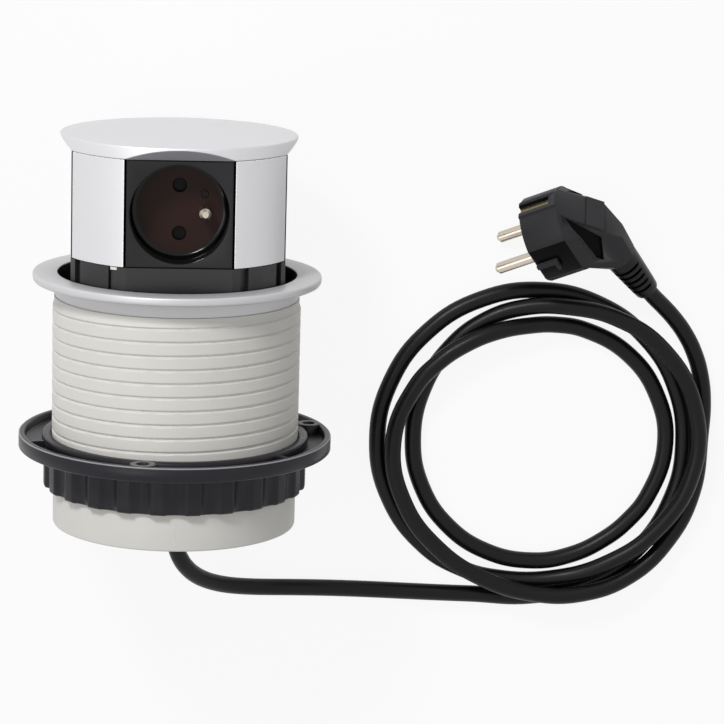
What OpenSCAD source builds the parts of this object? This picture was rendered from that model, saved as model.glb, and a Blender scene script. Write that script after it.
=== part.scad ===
// Pop up desk socket, lying on a table with its cord coiled beside it.
// The body is drawn upright, on the pop up axis, and lay() then lays it down:
// its axis becomes +Y, its front socket faces +Z and the table is below it.
// Height zero of the upright body is the underside of the trim ring.

/* [Tower] */
// Radius of the tower's corner panels, which the other radii follow
tower_r = 47.2; // [44:0.1:56]
// How far the tower rises
travel = 56.5; // [45:0.5:58]
// How far the cap stands out past the panels
cap_over = 0.2; // [0:0.1:0.4]
// Thickness of the cap
cap_t = 5.2; // [3.5:0.1:5.5]
// Height of a socket face
face_h = 42.3; // [41:0.1:44]
// Thickness of the corner panels
panel_t = 1.6; // [1.2:0.1:2.5]
// Height of the dark skirt below the socket faces
skirt_h = 28; // [24:0.5:30]
// Wall of the skirt
skirt_wall = 2.4; // [1.6:0.1:3]
// Width of the guide channels in the skirt
channel_w = 3.8; // [3:0.1:5]
// Angle of the guide channels from the middle of a face
channel_angle = 33; // [31:0.5:36]
// Thickness of the tower's floor
floor_t = 3; // [2:0.1:4]

/* [Trim ring] */
// Clearance between the cap and the trim ring's hole
cap_gap = 0.7; // [0.4:0.1:1]
// Width of the trim ring
trim_w = 10; // [8:0.1:14]
// Thickness of the trim ring's rim
trim_t = 3.5; // [2:0.1:4]
// Height of the collar below the rim
collar_h = 6; // [4:0.5:8]
// Thickness of the collar where it meets the rim
collar_wall = 2.6; // [2:0.1:5]

/* [Barrel] */
// Depth of the barrel's lower end below the worktop
barrel_depth = 99.7; // [96:0.1:115]
// Clearance between the tower and the barrel's bore
bore_gap = 0.5; // [0.4:0.1:0.8]
// Wall of the barrel at its plain ends
barrel_wall = 1.7; // [1.4:0.1:3]
// How far the thread's crest stands above the plain ends
crest_above = 0.6; // [0.4:0.1:1]
// Depth of the thread's groove
thread_depth = 0.8; // [0.6:0.1:0.9]
// Pitch of the thread
pitch = 5.5; // [5:0.1:6]
// Turns of thread
thread_turns = 12; // [10:1:12]

/* [Clamp] */
// How far the clamp flange stands out past the grip
flange_w = 10; // [9.8:0.1:14]
// Height of the clamp flange
flange_h = 6; // [5:0.5:8]
// Depth of the clamp flange's top below the worktop's top
flange_depth = 62.4; // [60:0.1:66]
// Thickness of the flange's rim and web
flange_wall = 2.5; // [2:0.1:3]
// Diameter of the three screw bosses
boss_d = 8.6; // [7:0.1:8.6]
// Diameter of the clamp's screw holes
boss_hole_d = 4.8; // [3:0.1:5]
// Wall of the ribbed grip
grip_wall = 3; // [2.6:0.1:5]
// Height of the clamp from the flange's top to the grip's lower end
clamp_h = 22; // [18:0.5:26]
// Number of flutes round the grip
flutes = 24; // [12:1:36]

/* [Socket] */
// Diameter of the socket's recess
recess_d = 38.7; // [37.5:0.1:39.2]
// Width of the socket's face beside its recess
socket_wall = 1.3; // [1.1:0.1:2]
// Depth of the socket's recess
recess_depth = 14.3; // [13:0.1:16]
// Spacing of the two contact holes
hole_spacing = 19; // [18.5:0.1:19.5]
// Diameter of the contact holes
hole_d = 5.2; // [4.9:0.1:5.6]
// Diameter of the earth pin
earth_d = 4.8; // [4.6:0.05:5]
// Length of the earth pin above the recess floor
earth_len = 14; // [12:0.5:14.5]
// Distance of the earth pin from the line of the holes
earth_offset = 10; // [9.5:0.1:10.5]
// Travel of a shutter
shutter_travel = 6; // [5.8:0.1:6.4]

/* [Cord and plug] */
// Diameter of the cord
cord_d = 7.2; // [6:0.1:7.4]
// Radius of the coil where it is widest
coil_r = 73.4; // [72:0.1:76]
// Radius of the plug's round front
plug_r = 18.3; // [17.5:0.1:19]
// Length of the plug's round front
plug_front = 17; // [15:0.5:20]
// Diameter of the plug's pins
pin_d = 4.8; // [4:0.1:4.8]
// Length of the plug's pins
pin_len = 19; // [17:0.5:19.5]
// Length of the plug's bend relief
boot_len = 23; // [20:1:26]

/* [Hidden] */
$fn = 96;

// Fits: small is between pieces of one body, slide is between pieces that move past each other
small_gap = 0.1;
slide_gap = 0.4;
side_names = ["front", "right", "back", "left"];
corner_names = ["front_right", "back_right", "back_left", "front_left"];

// Radii, from the tower outwards
cap_r = tower_r + cap_over;
trim_hole_r = cap_r + cap_gap;
trim_r = trim_hole_r + trim_w;
collar_r = trim_hole_r + collar_wall;
bore_r = tower_r + bore_gap;
plain_r = bore_r + barrel_wall;
crest_r = plain_r + crest_above;
nut_bore_r = crest_r + slide_gap;
grip_r = nut_bore_r + grip_wall;
flange_r = grip_r + flange_w;

// Heights on the upright body
trim_top = trim_t;
cap_top = trim_top + travel;
cap_bottom = cap_top - cap_t;
face_top = cap_bottom - small_gap;
face_bottom = face_top - face_h;
skirt_top = face_bottom - small_gap;
skirt_bottom = skirt_top - skirt_h;
floor_top = skirt_bottom - small_gap;
floor_bottom = floor_top - floor_t;
barrel_top = -collar_h - small_gap;
barrel_bottom = -barrel_depth;
post_top = floor_bottom - travel - slide_gap;
cover_t = 3;
recess_below_cover = 3;
cover_bottom = barrel_bottom + recess_below_cover;
cover_top = cover_bottom + cover_t;
flange_top = -flange_depth;
flange_bottom = flange_top - flange_h;
clamp_bottom = flange_top - clamp_h;
table_z = -flange_r;

// Socket layout, measured out from the axis along a socket's own direction
socket_mid = face_bottom + face_h / 2;
socket_half_w = recess_d / 2 + socket_wall;
flat_d = sqrt(pow(tower_r, 2) - pow(socket_half_w + small_gap, 2));
recess_floor = flat_d - recess_depth;
socket_floor_t = 1.5;
socket_back = recess_floor - socket_floor_t;
shutter_t = 1.8;
shutter_out = socket_back - slide_gap;
shutter_in = shutter_out - shutter_t;
carrier_t = 1.8;
carrier_out = shutter_in - slide_gap;
carrier_in = carrier_out - carrier_t;
carrier_w = 30;
carrier_edge = 4.15;
carrier_h = face_h - 2 * carrier_edge;
contact_in = 12;
contact_wall = 1.4;
contact_r = hole_d / 2 + contact_wall;
busbar_t = 1.2;
busbar_w = 6;
earth_ring_out = carrier_in - 1.6;
earth_ring_w = 4;
post_r = 4;
hole_half = hole_spacing / 2;

// Screws
screw_r = 1.5;
screw_head_r = 2.8;
screw_head_h = 2;

// Laying the body down: its axis turns to +Y and its front to +Z
module lay() {
    rotate([-90, 0, 0]) children();
}

module at_side(i) {
    rotate([0, 0, 90 * i]) children();
}

// A cylinder that points out from the axis, from one distance to another
module outward(x, z, from, to, r) {
    translate([x, -from, z]) rotate([90, 0, 0]) cylinder(r = r, h = to - from);
}

// A box that stands out from the axis, from one distance to another
module outward_box(w, h, from, to) {
    translate([-w / 2, -to, -h / 2]) cube([w, to - from, h]);
}

module ring(r_out, r_in, bottom, top) {
    translate([0, 0, bottom]) difference() {
        cylinder(r = r_out, h = top - bottom);
        translate([0, 0, -1]) cylinder(r = r_in, h = top - bottom + 2);
    }
}

module screw(head_bottom, tip, turned = false) {
    reach = abs(tip - head_bottom);
    translate([0, 0, head_bottom]) mirror([0, 0, turned ? 1 : 0]) {
        cylinder(r = screw_head_r, h = screw_head_h);
        cylinder(r = screw_r, h = reach);
    }
}

// Tubes that follow a line of points
function unit(v) = v / norm(v);
function tangent(p, i) = unit(p[min(i + 1, len(p) - 1)] - p[max(i - 1, 0)]);
function square_to(n, t) = unit(n - (n * t) * t);
function sides_of(p, first) = [
    for (i = 0, n = square_to(first, tangent(p, 0)); i < len(p); i = i + 1,
        n = i < len(p) ? square_to(n, tangent(p, i)) : n) n
];
function ring_at(c, t, n, r, sides) = [
    for (k = [0:sides - 1]) c + r * (cos(360 * k / sides) * n + sin(360 * k / sides) * cross(t, n))
];
function tube_faces(rings, sides) = concat(
    [for (i = [0:rings - 2], k = [0:sides - 1], h = [0, 1])
        let (a = i * sides + k, b = i * sides + (k + 1) % sides)
        h == 0 ? [a, a + sides, b] : [b, a + sides, b + sides]],
    [for (k = [1:sides - 2]) [0, k, k + 1]],
    [for (k = [1:sides - 2]) let (e = (rings - 1) * sides) [e, e + k + 1, e + k]]
);

module tube(p, r, sides, first) {
    n = sides_of(p, first);
    pts = [for (i = [0:len(p) - 1]) each ring_at(p[i], tangent(p, i), n[i], r, sides)];
    polyhedron(points = pts, faces = tube_faces(len(p), sides));
}

// A smooth line from one point to another that leaves and arrives along its two handles
function curve_at(a, b, c, d, t) = pow(1 - t, 3) * a + 3 * pow(1 - t, 2) * t * b
    + 3 * (1 - t) * t * t * c + pow(t, 3) * d;
function curve(a, b, c, d, steps) = [for (k = [0:steps]) curve_at(a, b, c, d, k / steps)];

// Threaded tube: a helical outer face closed by two plain ends and a bore
thread_sides = 48;
thread_bottom = barrel_top - 2 - (thread_turns + 1) * pitch;
groove = [[0, 0], [0.62, 0], [0.74, 1], [0.88, 1]];
rows = len(groove);
thread_rows = rows * thread_turns;
round_up = 1 / cos(180 / thread_sides);
function around(r, i, z) = [r * cos(360 * i / thread_sides), r * sin(360 * i / thread_sides), z];
function row_r(j) = crest_r - thread_depth * groove[j % rows][1];
function row_z(i, j) = thread_bottom + pitch * (floor(j / rows) + groove[j % rows][0] + i / thread_sides);
function grid(i, j) = i < thread_sides
    ? j * thread_sides + i
    : (j + rows) * thread_sides;
ends_from = (thread_rows + rows + 1) * thread_sides;
function end_at(e, i) = ends_from + e * thread_sides + i % thread_sides;
thread_points = concat(
    [for (j = [0:thread_rows + rows], i = [0:thread_sides - 1]) around(row_r(j), i, row_z(i, j))],
    [for (e = [[bore_r * round_up, barrel_bottom], [plain_r, barrel_bottom], [plain_r, thread_bottom - 1],
            [plain_r, barrel_top], [bore_r * round_up, barrel_top]], i = [0:thread_sides - 1])
        around(e[0], i, e[1])]
);
last = thread_sides - 1;
thread_faces = concat(
    [for (j = [0:thread_rows - 1], i = [0:last], h = [0, 1])
        h == 0 ? [grid(i, j), grid(i, j + 1), grid(i + 1, j)]
            : [grid(i + 1, j), grid(i, j + 1), grid(i + 1, j + 1)]],
    [for (i = [0:last], h = [0, 1])
        h == 0 ? [end_at(2, i), grid(i, 0), end_at(2, i + 1)]
            : [end_at(2, i + 1), grid(i, 0), grid(i < last ? i + 1 : 0, 0)]],
    [for (j = [0:rows - 1]) [grid(last, 0), grid(0, j + 1), grid(0, j)]],
    [for (i = [0:last], h = [0, 1])
        h == 0 ? [grid(i, thread_rows), end_at(3, i), end_at(3, i + 1)]
            : [grid(i, thread_rows), end_at(3, i + 1), grid(i + 1, thread_rows)]],
    [for (j = [thread_rows:thread_rows + rows - 1]) [end_at(3, 0), grid(0, j + 1), grid(0, j)]],
    [for (e = [[0, 1], [1, 2], [3, 4], [4, 0]], i = [0:last], h = [0, 1])
        h == 0 ? [end_at(e[0], i), end_at(e[1], i), end_at(e[0], i + 1)]
            : [end_at(e[0], i + 1), end_at(e[1], i), end_at(e[1], i + 1)]]
);

// Housing

module trim_ring() {
    edge = 0.9;
    color("silver") lay() rotate_extrude() polygon([
        [trim_hole_r, -collar_h],
        [trim_hole_r + edge, -collar_h],
        [collar_r, 0],
        [trim_r - edge / 2, 0],
        [trim_r, edge],
        [trim_r - edge / 2, trim_t - edge / 3],
        [trim_r - 2 * edge, trim_t],
        [trim_hole_r, trim_t]
    ]);
}

module threaded_barrel() {
    color("gainsboro") lay() polyhedron(points = thread_points, faces = thread_faces);
}

// Pads that fill the space beside each socket face: they guide it and stop the tower's floor
pad_out = bore_r - small_gap;
pad_half_w = sqrt(pow(pad_out, 2) - pow(flat_d + slide_gap, 2)) - 0.8;
module guide_pads() {
    pad_h = 7;
    pad_bottom = floor_top + slide_gap;
    color("dimgray") lay() for (i = [0:3]) at_side(i) intersection() {
        translate([0, 0, pad_bottom]) cylinder(r = pad_out, h = pad_h);
        translate([0, 0, pad_bottom + pad_h / 2])
            outward_box(2 * pad_half_w, pad_h, flat_d + slide_gap, pad_out);
    }
}

cover_screw_at = bore_r - 7.2;
cover_screw_bite = 8;
base_post_r = 5;
base_ring_h = 8;
module cover_screw_places() {
    for (a = [30, 150, 270]) rotate([0, 0, a]) translate([cover_screw_at, 0, 0]) children();
}

module base_frame() {
    pilot_depth = 9;
    bottom = cover_top + small_gap;
    color("dimgray") lay() difference() {
        union() {
            ring(bore_r - 2 * small_gap, cover_screw_at + base_post_r / 2, bottom, bottom + base_ring_h);
            cover_screw_places() translate([0, 0, bottom]) cylinder(r = base_post_r, h = post_top - bottom);
        }
        cover_screw_places() translate([0, 0, bottom - 1])
            cylinder(r = screw_r + small_gap / 2, h = pilot_depth + 1);
    }
}

// The cord's gland is set back from the axis, nearer the table
gland_neck_r = 7;
gland_screw_at = 12;
gland_inset = 17.2;
gland_back = tower_r - gland_inset;
module at_gland() {
    translate([0, gland_back, 0]) children();
}

module base_cover() {
    color("dimgray") lay() difference() {
        translate([0, 0, cover_bottom]) cylinder(r = bore_r - 2 * small_gap, h = cover_t);
        at_gland() translate([0, 0, cover_bottom - 1])
            cylinder(r = gland_neck_r + small_gap, h = cover_t + 2);
        cover_screw_places() translate([0, 0, cover_bottom - 1])
            cylinder(r = screw_r + small_gap, h = cover_t + 2);
        at_gland() for (s = [-1, 1]) translate([s * gland_screw_at, 0, cover_bottom + 1])
            cylinder(r = screw_r + small_gap / 2, h = cover_t);
    }
}

module cover_screws() {
    color("lightgray") lay() cover_screw_places()
        screw(cover_bottom - small_gap / 2 - screw_head_h, cover_top + cover_screw_bite);
}

gland_len = 11;
gland_tip = cover_bottom - gland_len;
gland_flange_t = 2;
gland_flange_top = cover_top + small_gap / 2 + gland_flange_t;
gland_sleeve_h = 4;
gland_sleeve_top = gland_flange_top + gland_sleeve_h;
gland_sleeve_r = cord_d / 2 + 1.2;
module cord_gland() {
    flange_ring_r = 9;
    tip_r = gland_sleeve_r;
    color("black") lay() at_gland() rotate_extrude() polygon([
        [cord_d / 2 + small_gap / 2, gland_tip],
        [tip_r, gland_tip],
        [gland_neck_r - 0.6, cover_bottom - small_gap],
        [gland_neck_r, cover_bottom],
        [gland_neck_r, cover_top + small_gap / 2],
        [flange_ring_r, cover_top + small_gap / 2],
        [flange_ring_r, gland_flange_top],
        [gland_sleeve_r, gland_flange_top],
        [gland_sleeve_r, gland_sleeve_top],
        [cord_d / 2 + small_gap / 2, gland_sleeve_top]
    ]);
}

gland_plate_t = 2;
gland_plate_bottom = gland_flange_top + small_gap / 2;
gland_plate_top = gland_plate_bottom + gland_plate_t;
module gland_plate() {
    plate_l = 2 * gland_screw_at + 8;
    plate_w = 14;
    color("slategray") lay() at_gland() difference() {
        translate([-plate_l / 2, -plate_w / 2, gland_plate_bottom]) cube([plate_l, plate_w, gland_plate_t]);
        translate([0, 0, gland_plate_bottom - 1])
            cylinder(r = gland_sleeve_r + small_gap, h = gland_plate_t + 2);
        for (s = [-1, 1]) translate([s * gland_screw_at, 0, gland_plate_bottom - 1])
            cylinder(r = screw_r + small_gap, h = gland_plate_t + 2);
    }
}

module gland_screws() {
    color("lightgray") lay() at_gland() for (s = [-1, 1]) translate([s * gland_screw_at, 0, 0])
        screw(gland_plate_top + small_gap / 2 + screw_head_h, cover_bottom + 1.5, turned = true);
}

// Slack lead inside: up through the gland, over and round in one flat loop
lead_bend = 7;
lead_loop_r = 16;
lead_rise = gland_sleeve_top + slide_gap;
lead_level = lead_rise + lead_bend;
inner_line = concat(
    [[0, 0, gland_tip]],
    [for (a = [0:30:90]) [lead_bend * (1 - cos(a)), 0, lead_rise + lead_bend * sin(a)]],
    [for (a = [-70:20:210]) [lead_bend + lead_loop_r * cos(a), -lead_loop_r * (1 + sin(a)), lead_level]]
);
module inner_lead() {
    color("black") lay() at_gland() tube(inner_line, cord_d / 2 - small_gap, 12, [0, 1, 0]);
}

// Clamp

neck_r = nut_bore_r + 2;
lip_r = neck_r + 1.6;
lip_t = 2.8;
web_top = flange_bottom + flange_wall;
boss_inset = 0.4;
boss_at = flange_r - boss_inset - boss_d / 2;
boss_angles = [-13, 107, 227];

module boss_places() {
    for (a = boss_angles) rotate([0, 0, a - 90]) translate([boss_at, 0, 0]) children();
}

// A rim and a web in one turned piece, with ribs and bosses that grow out of the web
module clamp_flange() {
    rib_t = 2;
    rib_below = 0.5;
    inside_web = flange_bottom + flange_wall / 2;
    color("darkslategray") lay() difference() {
        union() {
            rotate_extrude() polygon([
                [neck_r + slide_gap, flange_bottom],
                [flange_r, flange_bottom],
                [flange_r, flange_top],
                [flange_r - flange_wall, flange_top],
                [flange_r - flange_wall, web_top],
                [neck_r + slide_gap, web_top]
            ]);
            boss_places() translate([0, 0, inside_web])
                cylinder(d = boss_d, h = flange_top - boss_inset - inside_web);
            for (a = boss_angles) rotate([0, 0, a - 30])
                translate([lip_r + 1, -rib_t / 2, inside_web])
                cube([flange_r - flange_wall - lip_r, rib_t, flange_top - rib_below - inside_web]);
        }
        boss_places() translate([0, 0, flange_bottom - 1]) cylinder(d = boss_hole_d, h = flange_h + 2);
    }
}

// Thread lugs inside the nut sit in the barrel's groove, a third of a pitch apart
lug_w = 0.7;
lug_r = crest_r - thread_depth / 2;
groove_mid = (groove[2][0] + groove[3][0]) / 2;
function lug_z(turn) = thread_bottom + pitch * (turn + groove_mid);
lug_turn = floor((flange_bottom - lug_z(0)) / pitch + 1 / 3);

module grip_nut() {
    flute_r = 5.5;
    thinnest = 0.8;
    flute_depth = grip_r - nut_bore_r - thinnest;
    grip_top = flange_bottom - slide_gap;
    neck_top = web_top + slide_gap + lip_t;
    color("darkslategray") lay() {
        difference() {
            union() {
                ring(grip_r, nut_bore_r, clamp_bottom, grip_top);
                ring(neck_r, nut_bore_r, grip_top - 1, neck_top);
                ring(lip_r, nut_bore_r, neck_top - lip_t, neck_top);
            }
            for (k = [0:flutes - 1]) rotate([0, 0, 360 * k / flutes])
                translate([grip_r + flute_r - flute_depth, 0, clamp_bottom - 1])
                cylinder(r = flute_r, h = grip_top - clamp_bottom - 0.2);
        }
        for (k = [0:2]) rotate([0, 0, 120 * k])
            translate([lug_r, -lug_w / 2, lug_z(lug_turn + k / 3) - lug_w / 2])
            cube([nut_bore_r + 0.5 - lug_r, lug_w, lug_w]);
    }
}

// Tower

module cap() {
    edge = 0.6;
    slope_top = cap_top - 1;
    run = cap_r + 2 - flat_d;
    rise = (slope_top - cap_bottom) * run / (cap_r - flat_d);
    color("gainsboro") lay() difference() {
        rotate_extrude() polygon([
            [0, cap_bottom],
            [cap_r - edge / 2, cap_bottom],
            [cap_r, cap_bottom + edge],
            [cap_r, cap_top - edge],
            [cap_r - edge, cap_top],
            [0, cap_top]
        ]);
        for (i = [0:3]) at_side(i) translate([-cap_r, 0, 0]) rotate([90, 0, 90]) linear_extrude(2 * cap_r)
            polygon([
                [-flat_d, cap_bottom - 1],
                [-flat_d, cap_bottom],
                [-flat_d - run, cap_bottom + rise],
                [-flat_d - run - 1, cap_bottom - 1]
            ]);
        for (i = [0:3]) rotate([0, 0, 45 + 90 * i]) translate([cap_screw_at, 0, cap_bottom - 1])
            cylinder(r = screw_r + small_gap / 2, h = 3.2);
    }
}

tower_screw_at = tower_r - 6.8;
cap_screw_at = tower_screw_at - 7.4;
top_plate_t = 3;
module cap_screws() {
    color("lightgray") lay() for (i = [0:3]) rotate([0, 0, 45 + 90 * i]) translate([cap_screw_at, 0, 0])
        screw(face_top - top_plate_t - small_gap / 2 - screw_head_h, cap_bottom + 2);
}

// Plan of the tower: a circle with four flats
module tower_plan(inset = 0) {
    intersection() {
        circle(r = tower_r - inset);
        square(2 * (flat_d - inset), center = true);
    }
}

// Where a corner between two sockets starts, beside either of them
corner_from = socket_half_w + small_gap;

// A top plate on four corner posts: each holds a cap screw, a long screw and the back of a panel
post_wall = 1.8;
pocket_r = screw_head_r + 0.6;
cap_post_r = pocket_r + post_wall;
module tower_frame() {
    frame_r = tower_r - panel_t - small_gap;
    plate_half = socket_back;
    screw_post_r = frame_r - tower_screw_at;
    bite = 10;
    color("dimgray") lay() difference() {
        union() {
            translate([-plate_half, -plate_half, face_top - top_plate_t])
                cube([2 * plate_half, 2 * plate_half, top_plate_t]);
            for (i = [0:3]) rotate([0, 0, 45 + 90 * i]) translate([0, 0, face_bottom]) {
                translate([cap_screw_at, 0, 0]) cylinder(r = cap_post_r, h = face_h);
                translate([tower_screw_at, 0, 0]) cylinder(r = screw_post_r, h = face_h);
                translate([cap_screw_at, -screw_post_r * 0.8, 0])
                    cube([tower_screw_at - cap_screw_at, screw_post_r * 1.6, face_h]);
            }
        }
        for (i = [0:3]) rotate([0, 0, 45 + 90 * i]) {
            translate([cap_screw_at, 0, face_bottom - 1])
                cylinder(r = pocket_r, h = face_h - top_plate_t + 1);
            translate([cap_screw_at, 0, face_top - top_plate_t - 1])
                cylinder(r = screw_r + small_gap, h = top_plate_t + 2);
            translate([tower_screw_at, 0, face_bottom - 1])
                cylinder(r = screw_r + small_gap / 2, h = bite + 1);
        }
        for (i = [0:3]) at_side(i) translate([0, 0, socket_mid])
            outward_box(2 * corner_from, face_h + 2, socket_back - small_gap, tower_r);
    }
}

module socket(i) {
    ring_mark_r = 2.2;
    color("black") lay() at_side(i) translate([0, 0, socket_mid]) difference() {
        union() {
            difference() {
                outward_box(2 * socket_half_w, face_h, socket_back, flat_d);
                outward(0, 0, recess_floor, flat_d + 1, recess_d / 2);
            }
            outward(earth_offset, hole_half, recess_floor - 0.5, recess_floor + 0.5, ring_mark_r);
        }
        outward(earth_offset, hole_half, recess_floor + 0.1, recess_floor + 1, ring_mark_r - 0.6);
        for (s = [-1, 1]) outward(0, s * hole_half, socket_back - 1, recess_floor + 1, hole_d / 2);
        outward(earth_offset, 0, socket_back - 1, recess_floor + 1, earth_d / 2 + small_gap / 2);
    }
}

// A shutter closes both holes until pins push it aside
module shutter(i) {
    lobe_w = shutter_travel + hole_d + 3;
    lobe_h = hole_d + 4;
    closed_x = -shutter_travel;
    strip_w = hole_d;
    opening_r = hole_d / 2 + 0.3;
    depth = shutter_out - shutter_in;
    color("white") lay() at_side(i) translate([0, 0, socket_mid]) difference() {
        union() {
            for (s = [-1, 1]) translate([closed_x + shutter_travel / 2, 0, s * hole_half])
                outward_box(lobe_w + 1, lobe_h, shutter_in, shutter_out);
            translate([closed_x - opening_r, 0, 0])
                outward_box(strip_w, hole_spacing, shutter_in, shutter_out);
        }
        for (s = [-1, 1]) outward(closed_x, s * hole_half, shutter_in - 1, shutter_in + depth + 1, opening_r);
    }
}

module panel(i) {
    color("gainsboro") lay() translate([0, 0, face_bottom]) linear_extrude(face_h) intersection() {
        difference() {
            circle(r = tower_r);
            circle(r = tower_r - panel_t);
        }
        rotate([0, 0, 90 * (i - 1)]) translate([corner_from, corner_from]) square(tower_r);
    }
}

module contact_carriers() {
    color("tan") lay() for (i = [0:3]) at_side(i) translate([0, 0, socket_mid]) difference() {
        outward_box(carrier_w, carrier_h, carrier_in, carrier_out);
        for (s = [-1, 1]) outward(0, s * hole_half, carrier_in - 1, carrier_out + 1, contact_r + small_gap);
        outward(earth_offset, 0, carrier_in - 1, carrier_out + 1, earth_d / 2 + small_gap);
    }
}

module earth_pins() {
    dome = earth_d / 4;
    color("silver") lay() for (i = [0:3]) at_side(i) translate([earth_offset, 0, socket_mid]) {
        outward(0, 0, earth_ring_out, recess_floor + earth_len - dome, earth_d / 2);
        translate([0, -recess_floor - earth_len + dome, 0]) rotate([90, 0, 0])
            cylinder(r1 = earth_d / 2, r2 = earth_d / 4, h = dome);
    }
}

module contacts(level) {
    color("goldenrod") lay() for (i = [0:3]) at_side(i) translate([0, 0, socket_mid + level]) difference() {
        outward(0, 0, contact_in, carrier_out, contact_r);
        outward(0, 0, contact_in + 2, carrier_out + 1, hole_d / 2);
    }
}

module live_contacts() {
    contacts(hole_half);
}

module neutral_contacts() {
    contacts(-hole_half);
}

module cross_busbar(level) {
    reach = 2 * (contact_in - small_gap / 2);
    color("goldenrod") lay() translate([0, 0, socket_mid + level]) {
        cube([reach, busbar_w, busbar_t], center = true);
        cube([busbar_w, reach, busbar_t], center = true);
    }
}

module live_busbar() {
    cross_busbar(hole_half);
}

module neutral_busbar() {
    cross_busbar(-hole_half);
}

module earth_busbar() {
    half = earth_ring_out - small_gap / 2;
    color("goldenrod") lay() translate([0, 0, socket_mid]) difference() {
        intersection() {
            cube([2 * half, 2 * half, busbar_t], center = true);
            cylinder(r = cap_screw_at - cap_post_r - slide_gap, h = busbar_t + 1, center = true);
        }
        cube([2 * (half - earth_ring_w), 2 * (half - earth_ring_w), busbar_t + 1], center = true);
    }
}

// Insulating posts hold the two cross busbars between the skirt's deck and the frame's top plate
module busbar_posts() {
    levels = [
        [skirt_top + small_gap, socket_mid - hole_half - busbar_t / 2],
        [socket_mid - hole_half + busbar_t / 2, socket_mid + hole_half - busbar_t / 2],
        [socket_mid + hole_half + busbar_t / 2, face_top - top_plate_t]
    ];
    color("ivory") lay() for (l = levels) translate([0, 0, l[0] + small_gap / 2])
        cylinder(r = post_r, h = l[1] - l[0] - small_gap);
}

module channel_places() {
    for (i = [0:3], s = [-1, 1]) rotate([0, 0, 90 * i + s * channel_angle]) children();
}

deck_t = 2;
channel_depth = 1.8;
module skirt() {
    lead_hole_r = 6;
    color("dimgray") lay() difference() {
        translate([0, 0, skirt_bottom]) linear_extrude(skirt_h) tower_plan();
        translate([0, 0, skirt_bottom - 1]) linear_extrude(skirt_h - deck_t + 1)
            tower_plan(skirt_wall + channel_depth);
        translate([0, lead_hole_r * 2, skirt_bottom]) cylinder(r = lead_hole_r, h = skirt_h + 1);
        channel_places() translate([-channel_w / 2, -tower_r - 1, skirt_bottom - 1])
            cube([channel_w, channel_depth + 1, skirt_h + 2]);
        for (i = [0:3]) rotate([0, 0, 45 + 90 * i])
            translate([tower_screw_at, 0, skirt_bottom - 1])
            cylinder(r = screw_r + small_gap, h = skirt_h + 2);
    }
}

module tower_floor() {
    lead_hole_r = 8;
    color("dimgray") lay() difference() {
        translate([0, 0, floor_bottom]) cylinder(r = bore_r - slide_gap, h = floor_t);
        translate([0, 0, floor_bottom - 1]) cylinder(r = lead_hole_r, h = floor_t + 2);
        for (i = [0:3]) rotate([0, 0, 45 + 90 * i]) translate([tower_screw_at, 0, floor_bottom - 1]) {
            cylinder(r = screw_r + small_gap, h = floor_t + 2);
            cylinder(r = screw_head_r + small_gap, h = 1 + screw_head_h + small_gap);
        }
    }
}

module tower_screws() {
    color("lightgray") lay() for (i = [0:3]) rotate([0, 0, 45 + 90 * i])
        translate([tower_screw_at, 0, 0]) screw(floor_bottom, face_bottom + 9);
}

// Springs in two of the channels rub on the bore and hold the tower where it is left
module friction_springs() {
    spring_t = 0.5;
    spring_w = channel_w - 2 * slide_gap;
    spring_h = 24;
    tab_h = 1.2;
    inner = tower_r - channel_depth + small_gap;
    color("white") lay() for (i = [0, 2]) rotate([0, 0, 90 * i - channel_angle])
        translate([-spring_w / 2, -inner - spring_t, skirt_top - small_gap - spring_h]) {
            cube([spring_w, spring_t, spring_h]);
            translate([0, -spring_t, 0]) cube([spring_w, spring_t + 0.01, spring_h / 3]);
            translate([0, -spring_t, spring_h - tab_h]) cube([spring_w, spring_t + 0.01, tab_h]);
        }
}

module terminal_block() {
    block = [24, 12, 11];
    wire_r = 2;
    block_at = -22;
    bottom = floor_top + small_gap;
    color("ivory") lay() translate([0, block_at, bottom]) difference() {
        translate([-block[0] / 2, -block[1] / 2, 0]) cube(block);
        for (k = [-1:1]) translate([k * block[0] / 3, 0, block[2] / 2]) rotate([90, 0, 0])
            cylinder(r = wire_r, h = block[1] + 2, center = true);
    }
}

// Cord, drawn where it lies

cord_r = cord_d / 2;
cord_low = table_z + cord_r;
coil_at = [156.5, -79.6];
coil_start = -90;
coil_rings = 30;

// How the coil was laid by hand: turns from its start, inset from its widest radius in millimetres,
// and height above the table in cord diameters
laid = [
    [-0.06, 0, 0], [0, 4.4, 0], [0.06, 5.5, 0], [0.12, 7, 0], [0.19, 8.5, 0], [0.25, 9.3, 0],
    [0.375, 8.5, 0], [0.5, 6.7, 0], [0.625, 5, 0], [0.75, 4.4, 0], [0.875, 6.8, 0], [0.96, 10.6, 0],
    [1.03, 12.3, 0.31], [1.09, 12, 0.92], [1.15, 9.1, 1.08], [1.22, 5.2, 1.06], [1.29, 4.2, 1.04],
    [1.36, 6, 1.03], [1.42, 9, 1.04], [1.47, 11.7, 0.86], [1.52, 13.2, 0.43], [1.57, 14.8, 0.1],
    [1.62, 16.7, 0], [1.68, 18.5, 0], [1.75, 19.8, 0], [1.875, 20.4, 0], [2, 20.3, 0], [2.1, 20.1, 0],
    [2.18, 18.5, 0], [2.25, 17.2, 0], [2.375, 18.6, 0], [2.44, 20.2, 0], [2.52, 21.1, 0.6],
    [2.6, 18.4, 1.06], [2.68, 13.8, 1.06], [2.75, 10.8, 0.82], [2.82, 10.6, 0.86], [2.88, 11.1, 1.03],
    [2.94, 10.3, 1.08], [3, 7.6, 1.08], [3.05, 4.3, 1.07], [3.1, 1.4, 0.76], [3.15, 0.4, 0.26],
    [3.2, 0.8, 0], [3.26, 1.8, 0]
];
last_row = len(laid) - 1;
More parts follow.
